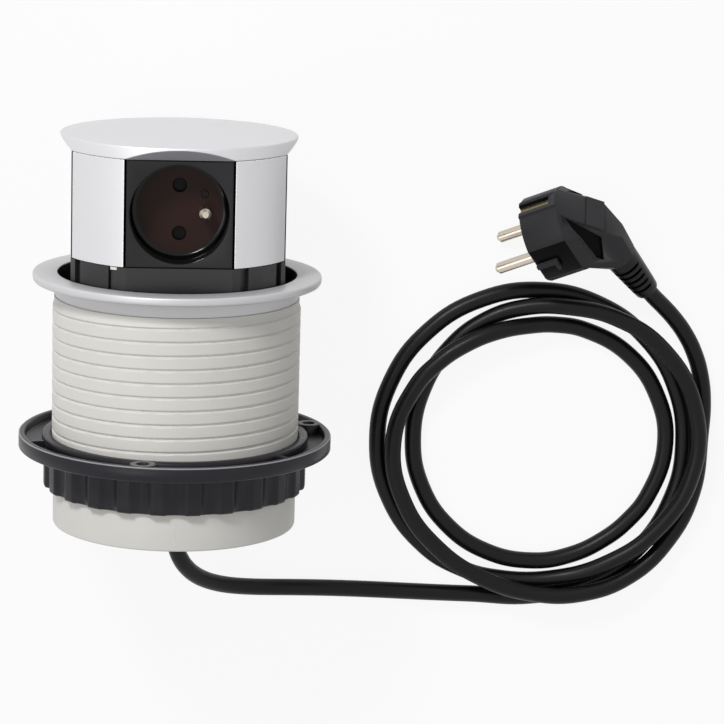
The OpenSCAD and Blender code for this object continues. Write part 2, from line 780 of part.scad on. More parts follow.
function slope(i, c) = let (a = laid[max(i - 1, 0)], b = laid[min(i + 1, last_row)])
    c == 2 && laid[i][c] == 0 ? 0 : (b[c] - a[c]) / (b[0] - a[0]);
function between(i, u, c) = let (h = laid[i + 1][0] - laid[i][0])
    (2 * pow(u, 3) - 3 * u * u + 1) * laid[i][c] + (pow(u, 3) - 2 * u * u + u) * h * slope(i, c)
    + (3 * u * u - 2 * pow(u, 3)) * laid[i + 1][c] + (pow(u, 3) - u * u) * h * slope(i + 1, c);
function coil_point(i, u) =
    let (turns = laid[i][0] + u * (laid[i + 1][0] - laid[i][0]), r = coil_r - between(i, u, 1))
    [coil_at[0] + r * cos(coil_start + 360 * turns), coil_at[1] + r * sin(coil_start + 360 * turns),
        cord_low + cord_d * between(i, u, 2)];
coil_line = concat(
    [for (i = [0:last_row - 1]) let (n = round(coil_rings * (laid[i + 1][0] - laid[i][0])))
        for (k = [0:n - 1]) coil_point(i, k / n)],
    [coil_point(last_row - 1, 1)]
);
coil_last = len(coil_line) - 1;
coil_in = coil_line[0];
coil_in_way = unit(coil_line[1] - coil_in);
coil_out = coil_line[coil_last];
coil_out_way = unit(coil_out - coil_line[coil_last - 1]);
coil_gap = min([
    for (i = [0:coil_last], j = [i + coil_rings / 2:1:coil_last]) norm(coil_line[i] - coil_line[j]) - cord_d
]);
echo(least_gap_in_coil = coil_gap);

// The lead leaves the gland straight, comes down to the table and runs along it to the coil
lead_reach = 50;
lead_aside = 2.3;
lead_out = 30;
lead_flat = 30;
lead_handle = 32;
lead_exit = [0, gland_tip, -gland_back];
lead_down = [lead_reach, coil_in[1] + lead_aside, cord_low];
lead_bend_line = curve(lead_exit, lead_exit - [0, lead_out, 0], lead_down - [lead_flat, 0, 0], lead_down, 24);
lead_table_line = curve(lead_down, lead_down + [lead_handle, 0, 0],
    coil_in - lead_handle * coil_in_way, coil_in, 8);
lead_line = concat(lead_bend_line, [for (k = [1:len(lead_table_line) - 1]) lead_table_line[k]]);

module cord_lead() {
    color("black") tube(lead_line, cord_r, 10, [1, 0, 0]);
}

module cord_coil() {
    color("black") tube(coil_line, cord_r, 6, [0, 0, 1]);
}

// Plug, drawn with its pins along its own +Z and its earth clips along its own Y

plug_at = [151.7, 11.1, -46.4];
plug_turn = [131, -55.2, -100.9];
function turn_x(v, a) = [v[0], v[1] * cos(a) - v[2] * sin(a), v[1] * sin(a) + v[2] * cos(a)];
function turn_y(v, a) = [v[0] * cos(a) + v[2] * sin(a), v[1], v[2] * cos(a) - v[0] * sin(a)];
function turn_z(v, a) = [v[0] * cos(a) - v[1] * sin(a), v[0] * sin(a) + v[1] * cos(a), v[2]];
function plug_turned(v) = turn_z(turn_y(turn_x(v, plug_turn[0]), plug_turn[1]), plug_turn[2]);
boot_tilt = 5;
boot_from = [0, -23, -plug_front - 10.5];
boot_way = [0, -cos(boot_tilt), -sin(boot_tilt)];
boot_tip = boot_from + boot_len * boot_way;
tail_end = plug_at + plug_turned(boot_tip);
tail_way = plug_turned(boot_way);

module as_plug() {
    translate(plug_at) rotate(plug_turn) children();
}

// The tail comes down off the coil and up into the plug's bend relief
coil_handle = 42;
plug_handle = 14;
module cord_tail() {
    tail_line = curve(coil_out, coil_out + coil_handle * coil_out_way,
        tail_end + plug_handle * tail_way, tail_end, 16);
    color("black") tube(tail_line, cord_r, 10, [0, 0, 1]);
}

clip_w = 9;
clip_out = plug_r + 0.5;
clip_slot_w = 4.6;
clip_slot_depth = 2.6;
clip_slot_from = -plug_front + 3;
module plug_bridge() {
    edge = 0.6;
    color("black") as_plug() difference() {
        union() {
            translate([0, 0, -plug_front]) cylinder(r = plug_r, h = plug_front - edge);
            translate([0, 0, -edge]) cylinder(r1 = plug_r, r2 = plug_r - edge, h = edge);
            translate([-clip_w / 2, -clip_out, -plug_front]) cube([clip_w, 2 * clip_out, plug_front]);
        }
        for (s = [-1, 1]) translate([s * hole_half, 0, -pin_root])
            cylinder(d = pin_d + small_gap, h = pin_root + 1);
        for (s = [0, 1]) mirror([0, s, 0])
            translate([-clip_slot_w / 2, clip_out - clip_slot_depth, clip_slot_from])
            cube([clip_slot_w, clip_slot_depth + 1, plug_front]);
    }
}

pin_root = 8;
module plug_pins() {
    tip = pin_d / 4;
    color("silver") as_plug() for (s = [-1, 1]) translate([s * hole_half, 0, 0]) {
        translate([0, 0, -pin_root + small_gap])
            cylinder(d = pin_d, h = pin_root + pin_len - tip - small_gap);
        translate([0, 0, pin_len - tip]) cylinder(d1 = pin_d, d2 = pin_d - 2 * tip, h = tip);
    }
}

module plug_earth_clips() {
    clip_t = 1;
    clip_end = -0.5;
    from = clip_slot_from + small_gap;
    color("goldenrod") as_plug() for (s = [0, 1]) mirror([0, s, 0])
        translate([-clip_slot_w / 2 + small_gap, clip_out - clip_slot_depth + small_gap, from])
        cube([clip_slot_w - 2 * small_gap, clip_t, clip_end - from]);
}

module plug_grip() {
    plate = 0.6;
    back_w = 18;
    back_at = [-back_w / 2, 0, -plug_front - 13.7];
    rear_w = 8;
    rear_at = [-rear_w / 2, -10, -plug_front - 17.6];
    boot_seat_r = 7.4;
    color("black") as_plug() hull() {
        translate([0, 0, -plug_front - small_gap - plate]) cylinder(r = plug_r, h = plate, $fn = 32);
        translate(back_at) cube([back_w, plate, plate]);
        translate(rear_at) cube([rear_w, plate, plate]);
        translate(boot_from) rotate([90 + boot_tilt, 0, 0])
            cylinder(r = boot_seat_r, h = plate, center = true, $fn = 24);
    }
}

// Ribbed bend relief, its grooves cut from both sides and leaving a core in the middle
module plug_boot() {
    ribs = 4;
    rib_pitch = 3.6;
    first_groove = 3.4;
    groove_w = 1.4;
    core = 2.8;
    root_r = 7;
    tip_r = cord_r + 1.6;
    gap = 0.6;
    color("black") as_plug() translate(boot_from + gap * boot_way) rotate([90 + boot_tilt, 0, 0])
        difference() {
            cylinder(r1 = root_r, r2 = tip_r, h = boot_len - gap);
            for (k = [0:ribs - 1], s = [0, 1]) mirror([s, 0, 0])
                translate([core / 2, -root_r, first_groove + rib_pitch * k])
                cube([root_r, 2 * root_r, groove_w]);
        }
}

trim_ring();
threaded_barrel();
guide_pads();
base_frame();
base_cover();
cover_screws();
cord_gland();
gland_plate();
gland_screws();
inner_lead();
clamp_flange();
grip_nut();
cap();
cap_screws();
tower_frame();
for (i = [0:3]) socket(i);
for (i = [0:3]) shutter(i);
for (i = [0:3]) panel(i);
contact_carriers();
earth_pins();
live_contacts();
neutral_contacts();
live_busbar();
neutral_busbar();
earth_busbar();
busbar_posts();
skirt();
tower_floor();
tower_screws();
friction_springs();
terminal_block();
cord_lead();
cord_coil();
cord_tail();
plug_bridge();
plug_grip();
plug_boot();
plug_pins();
plug_earth_clips();
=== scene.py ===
"""Looks of a pop up desk socket that lies on a table with its cord coiled beside it.

The body's pieces are drawn upright in millimetres, on the pop up axis with the front towards -Y,
and LAY then lays them down as the solids lie. The plug's pieces are drawn with the pins along +Z.
"""

import math

import bmesh
import bpy
from bpy.props import FloatProperty, FloatVectorProperty, IntProperty, PointerProperty
from mathutils import Euler, Matrix, Vector


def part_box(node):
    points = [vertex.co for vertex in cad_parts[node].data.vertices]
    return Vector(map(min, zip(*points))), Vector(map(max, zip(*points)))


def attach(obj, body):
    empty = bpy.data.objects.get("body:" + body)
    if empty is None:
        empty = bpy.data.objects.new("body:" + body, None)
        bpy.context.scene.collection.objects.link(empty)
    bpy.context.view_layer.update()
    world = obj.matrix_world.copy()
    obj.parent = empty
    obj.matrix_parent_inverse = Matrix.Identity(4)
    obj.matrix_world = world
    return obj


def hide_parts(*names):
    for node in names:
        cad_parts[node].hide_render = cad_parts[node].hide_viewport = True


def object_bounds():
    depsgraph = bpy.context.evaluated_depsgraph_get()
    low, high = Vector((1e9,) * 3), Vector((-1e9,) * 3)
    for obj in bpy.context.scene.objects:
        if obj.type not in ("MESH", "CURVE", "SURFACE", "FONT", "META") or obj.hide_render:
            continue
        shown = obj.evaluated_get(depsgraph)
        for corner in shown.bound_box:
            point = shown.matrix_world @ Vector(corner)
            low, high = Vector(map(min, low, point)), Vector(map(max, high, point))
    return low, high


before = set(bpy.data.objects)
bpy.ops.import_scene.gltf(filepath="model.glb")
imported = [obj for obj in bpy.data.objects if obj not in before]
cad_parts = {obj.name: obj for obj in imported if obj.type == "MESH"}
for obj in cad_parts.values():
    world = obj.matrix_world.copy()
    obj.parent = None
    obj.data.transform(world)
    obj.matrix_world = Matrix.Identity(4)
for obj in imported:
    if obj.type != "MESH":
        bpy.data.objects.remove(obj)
cad_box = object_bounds()

bl_info = {
    "name": "Pop up desk socket",
    "version": (1, 0, 0),
    "blender": (4, 5, 0),
    "location": "View3D > Sidebar > Desk socket",
    "description": "Builds the looks of a pop up desk socket round its solids",
    "category": "Object",
}

MM = 0.001
LAY = Matrix.Rotation(math.radians(-90), 4, "X")
# Points closer together than this are one point
WELD = 0.002 * MM
# Most of a noise pattern's values lie between these two
NOISE_LOW, NOISE_HIGH = 0.3, 0.7


def linear(hex_colour):
    """The linear colour of an sRGB hex value."""
    parts = [int(hex_colour[i:i + 2], 16) / 255 for i in (0, 2, 4)]
    return tuple(c / 12.92 if c <= 0.04045 else ((c + 0.055) / 1.055) ** 2.4 for c in parts)


def span(node, axis):
    """Lowest and highest place of a solid along an axis, in millimetres."""
    low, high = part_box(node)
    return low[axis] / MM, high[axis] / MM


X, Y, Z = 0, 1, 2
CAP_BOTTOM, CAP_TOP = span("cap", Y)
CAP_R = span("cap", X)[1]
COLLAR_BOTTOM, TRIM_TOP = span("trim_ring", Y)
TRIM_R = span("trim_ring", X)[1]
BARREL_BOTTOM, BARREL_TOP = span("threaded_barrel", Y)
CREST_R = span("threaded_barrel", X)[1]
FLANGE_BOTTOM, FLANGE_TOP = span("clamp_flange", Y)
FLANGE_R = span("clamp_flange", X)[1]
CLAMP_BOTTOM, NECK_TOP = span("grip_nut", Y)
FACE_BOTTOM, FACE_TOP = span("socket_front", Y)
FACE_HALF_W = span("socket_front", X)[1]
SOCKET_BACK, FACE_OUT = span("socket_front", Z)
TABLE = cad_box[0][Z]


def length(name, description, size_mm):
    """A property for a length, given in millimetres."""
    return FloatProperty(name=name, description=description, default=size_mm * MM, min=0.1 * MM,
                         unit="LENGTH", precision=4)


def colour(name, description, hex_colour):
    """A property for a colour, given as an sRGB hex value."""
    return FloatVectorProperty(name=name, description=description, subtype="COLOR", size=3, min=0, max=1,
                               default=linear(hex_colour))


class DeskSocketSizes(bpy.types.PropertyGroup):
    """Sizes of the looks that can change without changing the solids."""

    thread_pitch: length("Thread pitch", "Height of one turn of the barrel's thread", 5.5)
    thread_depth: length("Thread depth", "Depth of the groove between two turns of thread", 0.8)
    flutes: IntProperty(
        name="Flutes", description="Number of flutes round the grip", default=24, min=6, max=60)
    flute_depth: length("Flute depth", "Depth of a flute in the grip", 2.2)
    panel_gap: length("Panel gap", "Dark gap between a corner panel and a socket", 0.9)
    cord_diameter: length("Cord diameter", "Diameter of the cord's sheath", 7.2)
    boot_slits: IntProperty(
        name="Bend relief slits", description="Number of slits along the plug's bend relief",
        default=5, min=0, max=8)


class DeskSocketColours(bpy.types.PropertyGroup):
    """Colours of the main finishes."""

    silver: colour("Silver", "Cap and corner panels", "DEDDE0")
    trim: colour("Trim", "Trim ring", "CDCCCE")
    barrel: colour("Barrel", "Threaded barrel", "D9D7D2")
    charcoal: colour("Charcoal", "Clamp flange and grip", "1D1C22")
    socket: colour("Socket", "Socket faces", "18181A")
    cord: colour("Cord", "Cord and bend relief", "0B0B0E")


class DeskSocketStage(bpy.types.PropertyGroup):
    """Camera and light."""

    camera_at: FloatVectorProperty(
        name="Camera", description="Where the camera stands", subtype="TRANSLATION", size=3,
        default=(-0.0134, 0.2176, 1.1836))
    camera_turn: FloatVectorProperty(
        name="Camera turn", description="How the camera is turned", subtype="EULER", size=3,
        default=(math.radians(-12.02), math.radians(-3.96), math.radians(1.586)))
    lens: FloatProperty(
        name="Lens", description="Focal length on a 36 mm sensor", default=148.13, unit="CAMERA")
    key_power: FloatProperty(
        name="Key light", description="Power of the soft light at the upper left", default=11.0,
        unit="POWER")
    fill_power: FloatProperty(
        name="Fill light", description="Power of the soft light at the front left", default=2.5,
        unit="POWER")


def settings():
    """The scene's three property groups."""
    scene = bpy.context.scene
    return scene.desk_socket_sizes, scene.desk_socket_colours, scene.desk_socket_stage


def add_node(tree, kind, inputs=None, **options):
    """Adds a shader node, sets its options and fills its inputs with values or other nodes' outputs."""
    made = tree.nodes.new(kind)
    for name, value in options.items():
        setattr(made, name, value)
    for name, value in (inputs or {}).items():
        if isinstance(value, bpy.types.NodeSocket):
            tree.links.new(value, made.inputs[name])
        else:
            made.inputs[name].default_value = value
    return made


def grain_scale(size_mm):
    """Scale of a pattern in object space whose features are this many millimetres apart."""
    return 1 / (size_mm * MM)


def shade_of(colour, factor):
    """A colour made lighter or darker, with its alpha."""
    return tuple(min(1, c * factor) for c in colour) + (1,)


def new_finish(name, colour, metallic=0.0, roughness=0.5, patch_mm=8.0, patch=0.04, rough_spread=0.06,
               grain_mm=0.8, grain_depth_mm=0.02, specular=0.5, stretch=(1, 1, 1)):
    """A surface whose colour drifts in patches, with a grain that shows in its gloss and its relief.

    Mould grain and metal flakes are really under 0.1 mm, too fine to see here, so grain_mm draws
    them coarser than they are.
    """
    known = bpy.data.materials.get(name)
    if known:
        return known
    finish = bpy.data.materials.new(name)
    finish.use_nodes = True
    tree = finish.node_tree
    shader = tree.nodes["Principled BSDF"]
    shader.inputs["Metallic"].default_value = metallic
    shader.inputs["Specular IOR Level"].default_value = specular
    place = add_node(tree, "ShaderNodeTexCoord").outputs["Object"]
    stretched = add_node(
        tree, "ShaderNodeMapping", {"Vector": place, "Scale": stretch}).outputs["Vector"]
    patches = add_node(
        tree, "ShaderNodeTexNoise",
        {"Vector": place, "Scale": grain_scale(patch_mm), "Detail": 3.0}).outputs["Fac"]
    grain = add_node(
        tree, "ShaderNodeTexNoise",
        {"Vector": stretched, "Scale": grain_scale(grain_mm), "Detail": 2.0}).outputs["Fac"]
    tint = add_node(
        tree, "ShaderNodeMix",
        {"Factor": patches, "A": shade_of(colour, 1 - patch), "B": shade_of(colour, 1 + patch)},
        data_type="RGBA")
    gloss = add_node(
        tree, "ShaderNodeMapRange",
        {"Value": grain, "From Min": NOISE_LOW, "From Max": NOISE_HIGH,
         "To Min": roughness - rough_spread, "To Max": roughness + rough_spread})
    relief = add_node(
        tree, "ShaderNodeBump", {"Height": grain, "Distance": grain_depth_mm * MM, "Strength": 1.0})
    tree.links.new(tint.outputs["Result"], shader.inputs["Base Color"])
    tree.links.new(gloss.outputs["Result"], shader.inputs["Roughness"])
    tree.links.new(relief.outputs["Normal"], shader.inputs["Normal"])
    return finish


def silver_lacquer():
    """Silver lacquer on moulded ABS: a soft metallic sheen with fine flakes."""
    return new_finish("silver_lacquer_on_abs", settings()[1].silver, metallic=0.5, roughness=0.46,
                      patch_mm=40, patch=0.02, grain_mm=0.9, grain_depth_mm=0.004, specular=0.4)


def anodised_trim():
    """Anodised aluminium, turned: satin metal with fine turning marks round the axis."""
    return new_finish("anodised_aluminium_turned", settings()[1].trim, metallic=0.3, roughness=0.42,
                      patch_mm=30, patch=0.02, rough_spread=0.02, grain_mm=1.2, grain_depth_mm=0.002)


def cap_underside_painted_shade():
    """Grey on the cap's sloped underside, dull beside the lacquer: painted shade where the silver faces
    down.
    """
    return new_finish("grey_underside_painted_shade", linear("9A99A0"), patch_mm=20)


def barrel_abs():
    """Pale ABS as moulded: dull, a little warm, with faint flow patches and draw marks."""
    return new_finish("pale_abs_moulded", settings()[1].barrel, patch_mm=14, patch=0.035,
                      grain_mm=1.0, grain_depth_mm=0.025, specular=0.4)


def clamp_nylon():
    """Glass filled nylon as moulded: near black with a fine grain; the rim's bright top edge is a painted
    highlight in a finish of its own.
    """
    return new_finish("glass_filled_nylon_moulded", settings()[1].charcoal, roughness=0.36, patch_mm=10,
                      patch=0.12, grain_depth_mm=0.03, specular=0.24)


def face_black():
    """Polycarbonate with an eroded mould grain: a matte black that stays even over the face."""
    return new_finish("polycarbonate_eroded_grain", settings()[1].socket, roughness=0.58, patch_mm=12,
                      patch=0.06, grain_mm=0.7, specular=0.3)


def recess_black():
    """Polycarbonate from a polished mould: a deep black that mirrors what stands round it."""
    return new_finish("polycarbonate_polished", linear("0A0A0C"), roughness=0.16, rough_spread=0.03,
                      patch_mm=12, grain_mm=2.0, grain_depth_mm=0.004, specular=0.2)


def recess_floor():
    """Polycarbonate from a polished mould, in the dark brown of the shutter insert."""
    return new_finish("polycarbonate_polished_brown", linear("2E1C18"), roughness=0.2, rough_spread=0.03,
                      patch_mm=12, grain_mm=2.0, grain_depth_mm=0.004, specular=0.12)


def shutter_black():
    """Acetal as moulded, deep black: a shutter behind its holes."""
    return new_finish("black_acetal_moulded", linear("08080A"), roughness=0.35, patch_mm=6, specular=0.1)


def panel_edge_highlight_painted():
    """Near white metal on the panels' rounded edges: a painted highlight."""
    return new_finish("lacquer_edge_painted_highlight", linear("F2F2F2"), metallic=0.6, roughness=0.3, patch_mm=10,
                      grain_depth_mm=0.004)


def rim_edge_painted_highlight():
    """Pale grey on the flange rim's rounded outer top edge: a painted highlight."""
    return new_finish("nylon_rim_painted_highlight", linear("8C8B8E"), roughness=0.45, patch_mm=6, patch=0.15)


def painted_light_boss_top():
    """A lighter grey on the bosses' top faces: painted light where they face the lamp."""
    return new_finish("nylon_boss_top_painted_light", linear("6A6966"), patch_mm=4, patch=0.1)


def skirt_abs():
    """Dark ABS as moulded: semi matte with faint vertical draw marks."""
    return new_finish("dark_abs_moulded", linear("19191B"), roughness=0.45, patch_mm=10, patch=0.08,
                      stretch=(1, 0.15, 1))


def cord_pvc():
    """Extruded PVC sheath: satin black with a soft long highlight and a faint waviness."""
    return new_finish("pvc_extruded_sheath", settings()[1].cord, roughness=0.36, patch_mm=15, patch=0.1,
                      rough_spread=0.03, grain_mm=2.5, grain_depth_mm=0.01, specular=0.2)


def plug_pvc():
    """Moulded PVC with a sparked grain: satin black with a fine speckle."""
    return new_finish("pvc_moulded_sparked_grain", linear("303032"), roughness=0.45,
                      patch_mm=9, patch=0.1, grain_depth_mm=0.03, specular=0.12)


def plug_painted_shade():
    """Moulded PVC painted near black: painted shade on the plug's flat sides, its earth slots' walls and
    its finger pockets.
    """
    return new_finish("pvc_painted_shade", linear("050506"), roughness=0.35, patch_mm=9, specular=0.06)


def nickel():
    """Nickel plated brass: a warm bright metal with faint drawing marks."""
    return new_finish("nickel_plate_drawn", linear("C9BFB2"), metallic=1.0, roughness=0.24, patch_mm=5,
                      rough_spread=0.03, grain_depth_mm=0.001)


def brass():
    """Stamped brass: yellow metal, a little dull."""
    return new_finish("brass_stamped", linear("8F8466"), metallic=1.0, roughness=0.34, patch_mm=4,
                      patch=0.08, grain_depth_mm=0.006)


def zinc():
    """Zinc plated steel: a cool grey metal with cloudy patches."""
    return new_finish("steel_zinc_plated", linear("A7AAAE"), metallic=1.0, roughness=0.36, patch_mm=3,
                      patch=0.08, grain_depth_mm=0.006)


def ivory_nylon():
    """Natural nylon as moulded: a milky off white."""
    return new_finish("natural_nylon_moulded", linear("E4E1D6"), patch_mm=6)


def dark_inside_and_painted_shade():
    """Black ABS as moulded, for the pieces inside; on the barrel's bore and the trim ring's inner wall it
    is painted shade.
    """
    return new_finish("black_abs_and_painted_shade", linear("262628"))


def added(name, data):
    """Puts an object into the scene."""
    made = bpy.data.objects.new(name, data)
    bpy.context.scene.collection.objects.link(made)
    return made


def shaped(name, shape, finishes, place, sharp):
    """A piece out of a bmesh, put in its place, smooth except at its sharp edges."""
    mesh = bpy.data.meshes.new(name)
    shape.to_mesh(mesh)
    shape.free()
    mesh.transform(place)
    mesh.shade_smooth()
    mesh.set_sharp_from_angle(angle=math.radians(sharp))
    for finish in finishes:
        mesh.materials.append(finish)
    return added(name, mesh)


def closed(shape):
    """Joins points that meet and turns all faces outwards."""
    bmesh.ops.remove_doubles(shape, verts=shape.verts, dist=WELD)
    bmesh.ops.recalc_face_normals(shape, faces=shape.faces)


def mesh_piece(name, points, faces, finishes, place=LAY, indexes=None, sharp=32):
    """A piece from points in millimetres; indexes gives the number of each face's finish."""
    shape = bmesh.new()
    verts = [shape.verts.new(Vector(p) * MM) for p in points]
    for k, corners in enumerate(faces):
        face = shape.faces.new([verts[c] for c in corners])
        face.material_index = indexes[k] if indexes else 0
    closed(shape)
    return shaped(name, shape, finishes, place, sharp)


def turned(name, profile_at, segments, finishes, place=LAY, bands=None, sharp=32):
    """A piece turned round its axis: profile_at(angle) gives (radius, height) points, front first."""
    points = []
    for k in range(segments):
        a = math.tau * k / segments
        for r, h in profile_at(a):
            points.append((r * math.sin(a), -r * math.cos(a), h))
    count = len(points) // segments
    faces = []
    indexes = []
    for k in range(segments):
        here = k * count
        there = (k + 1) % segments * count
        for j in range(count):
            n = (j + 1) % count
            faces.append((here + j, there + j, there + n, here + n))
            indexes.append(bands[j] if bands else 0)
    return mesh_piece(name, points, faces, finishes, place, indexes, sharp)


def lofted(name, rings, finishes, place=LAY):
    """A closed piece through rings of points that have the same count."""
    count = len(rings[0])
    last = (len(rings) - 1) * count
    faces = [tuple(range(count)), tuple(range(last + count - 1, last - 1, -1))]
    for start in range(0, last, count):
        for i in range(count):
            j = (i + 1) % count
            faces.append((start + i, start + j, start + count + j, start + count + i))
    return mesh_piece(name, [p for ring in rings for p in ring], faces, finishes, place)


def rectangle(x0, y0, x1, y1):
    """The corners of a rectangle, in order."""
    return [(x0, y0), (x1, y0), (x1, y1), (x0, y1)]


def prism(name, outline, low, high, finishes, place=LAY, round_mm=0.3):
    """A piece with one outline all along its axis and rounded edges."""
    piece = lofted(name, [[(x, y, h) for x, y in outline] for h in (low, high)], finishes, place)
    soften(piece, round_mm)
    return piece


def cut(piece, cutter):
    """Takes one piece's shape out of another, and leaves the cutter's finish on the cut."""
    taken = piece.modifiers.new("cut", "BOOLEAN")
    taken.object = cutter
    taken.solver = "EXACT"
    taken.material_mode = "TRANSFER"
    apply_modifiers(piece)
    bpy.data.objects.remove(cutter)


def soften(piece, round_mm, marked=False):
    """Rounds a piece's sharp or marked edges, and gives them its second finish where it has one."""
    bevel = piece.modifiers.new("rounded_edges", "BEVEL")
    bevel.width = round_mm * MM
    bevel.segments = 2
    bevel.limit_method = "WEIGHT" if marked else "ANGLE"
    bevel.angle_limit = math.radians(35)
    bevel.harden_normals = True
    bevel.material = len(piece.data.materials) - 1


def joined(name, pieces):
    """One piece out of several."""
    for piece in pieces:
        apply_modifiers(piece)
    shape = bmesh.new()
    finishes = []
    for piece in pieces:
        start = len(shape.faces)
        shape.from_mesh(piece.data)
        shape.faces.ensure_lookup_table()
        own = list(piece.data.materials)
        for finish in own:
            if finish not in finishes:
                finishes.append(finish)
        for face in shape.faces[start:]:
            face.material_index = finishes.index(own[face.material_index])
    mesh = bpy.data.meshes.new(name)
    shape.to_mesh(mesh)
    shape.free()
    for finish in finishes:
        mesh.materials.append(finish)
    for piece in pieces:
        bpy.data.objects.remove(piece)
    return added(name, mesh)


def apply_modifiers(piece):
    """Bakes a piece's modifiers into its mesh."""
    bpy.context.view_layer.update()
    seen = piece.evaluated_get(bpy.context.evaluated_depsgraph_get())
    baked = bpy.data.meshes.new_from_object(seen)
    piece.modifiers.clear()
    piece.data = baked


def dress(finish, *nodes):
    """Gives solids that keep their own shape a finish."""
    for name in nodes:
        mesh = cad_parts[name].data
        mesh.materials.clear()
        mesh.materials.append(finish)


def seat(piece, body, slot, *nodes):
    """Puts a piece on its body in place of the solids that it stands for."""
    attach(piece, body)
    if nodes:
        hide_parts(*nodes)


def curve_points(a, b, c, d, steps):
    """Points from a to d on a smooth line that leaves and arrives along the handles b and c."""
    found = []
    for k in range(steps + 1):
        t = k / steps
        found.append((1 - t) ** 3 * a + 3 * (1 - t) ** 2 * t * b + 3 * (1 - t) * t * t * c + t ** 3 * d)
    return found


# The plug and the route of the cord, as the solids lie, in millimetres
PLUG = Matrix.Translation(Vector((151.7, 11.1, -46.4)) * MM) @ Euler(
    [math.radians(a) for a in (131, -55.2, -100.9)]).to_matrix().to_4x4()
PLUG_R = 18.3
PLUG_FLAT = 16.2
PLUG_FRONT = 17
BOOT_FROM = Vector((0, -23, -27.5))
BOOT_TILT = math.radians(5)
BOOT_LEN = 23
BOOT_WAY = Vector((0, -math.cos(BOOT_TILT), -math.sin(BOOT_TILT)))
GLAND_TIP = span("cord_gland", Y)[0]
GLAND_LEVEL = sum(span("cord_gland", Z)) / 2
COIL_AT = Vector((156.5, -79.6, 0))
COIL_R = 73.4
# How the coil was laid: turns from its start, inset from its widest radius in millimetres,
# and height above the table in cord diameters
LAID = (
    (-0.06, 0, 0), (0, 4.4, 0), (0.06, 5.5, 0), (0.12, 7, 0), (0.19, 8.5, 0), (0.25, 9.3, 0),
    (0.375, 8.5, 0), (0.5, 6.7, 0), (0.625, 5, 0), (0.75, 4.4, 0), (0.875, 6.8, 0), (0.96, 10.6, 0),
    (1.03, 12.3, 0.31), (1.09, 12, 0.92), (1.15, 9.1, 1.08), (1.22, 5.2, 1.06), (1.29, 4.2, 1.04),
    (1.36, 6, 1.03), (1.42, 9, 1.04), (1.47, 11.7, 0.86), (1.52, 13.2, 0.43), (1.57, 14.8, 0.1),
    (1.62, 16.7, 0), (1.68, 18.5, 0), (1.75, 19.8, 0), (1.875, 20.4, 0), (2, 20.3, 0), (2.1, 20.1, 0),
    (2.18, 18.5, 0), (2.25, 17.2, 0), (2.375, 18.6, 0), (2.44, 20.2, 0), (2.52, 21.1, 0.6),
    (2.6, 18.4, 1.06), (2.68, 13.8, 1.06), (2.75, 10.8, 0.82), (2.82, 10.6, 0.86), (2.88, 11.1, 1.03),
    (2.94, 10.3, 1.08), (3, 7.6, 1.08), (3.05, 4.3, 1.07), (3.1, 1.4, 0.76), (3.15, 0.4, 0.26),
    (3.2, 0.8, 0), (3.26, 1.8, 0),
)


def laid_slope(i, column):
    """How fast a column of LAID changes at row i; the cord leaves the table level."""
    if column == 2 and LAID[i][2] == 0:
        return 0
    before = LAID[max(i - 1, 0)]
    after = LAID[min(i + 1, len(LAID) - 1)]
    return (after[column] - before[column]) / (after[0] - before[0])


def laid_at(i, u, column):
    """A column of LAID between row i and the next one, on a smooth line."""
    step = LAID[i + 1][0] - LAID[i][0]
    return ((2 * u ** 3 - 3 * u * u + 1) * LAID[i][column]
            + (u ** 3 - 2 * u * u + u) * step * laid_slope(i, column)
            + (3 * u * u - 2 * u ** 3) * LAID[i + 1][column]
            + (u ** 3 - u * u) * step * laid_slope(i + 1, column))


def coil_line(low, diameter):
    """Places along the coil."""
    found = []
    places_a_turn = 20
    for i in range(len(LAID) - 1):
        step = LAID[i + 1][0] - LAID[i][0]
        count = max(1, round(places_a_turn * step))
        last = 1 if i == len(LAID) - 2 else 0
        for k in range(count + last):
            u = k / count
            a = math.radians(-90 + 360 * (LAID[i][0] + u * step))
            r = COIL_R - laid_at(i, u, 1)
            level = low + diameter * laid_at(i, u, 2)
            found.append(Vector((COIL_AT.x + r * math.cos(a), COIL_AT.y + r * math.sin(a), level)))
    return found


def cord_route(diameter):
    """The cord's middle line from the gland to the plug."""
    low = TABLE / MM + diameter / 2
    coil = coil_line(low, diameter)
    way_in = (coil[1] - coil[0]).normalized()
    way_out = (coil[-1] - coil[-2]).normalized()
    exit_at = Vector((0, GLAND_TIP, GLAND_LEVEL))
    exit_way = Vector((0, -1, 0))
    down = Vector((50, coil[0].y + 2.3, low))
    along = Vector((1, 0, 0))
    # How far each end's direction is held, in millimetres
    lead_pull, table_pull, coil_pull, boot_pull = 30, 32, 42, 14
    tail_end = PLUG @ ((BOOT_FROM + BOOT_LEN * BOOT_WAY) * MM) / MM
    tail_way = (PLUG.to_3x3() @ BOOT_WAY).normalized()
    lead = curve_points(exit_at, exit_at + lead_pull * exit_way, down - lead_pull * along, down, 12)
    table = curve_points(down, down + table_pull * along, coil[0] - table_pull * way_in, coil[0], 6)
    tail = curve_points(
        coil[-1], coil[-1] + coil_pull * way_out, tail_end + boot_pull * tail_way, tail_end, 8)
    return lead + table[1:] + coil[1:] + tail[1:]


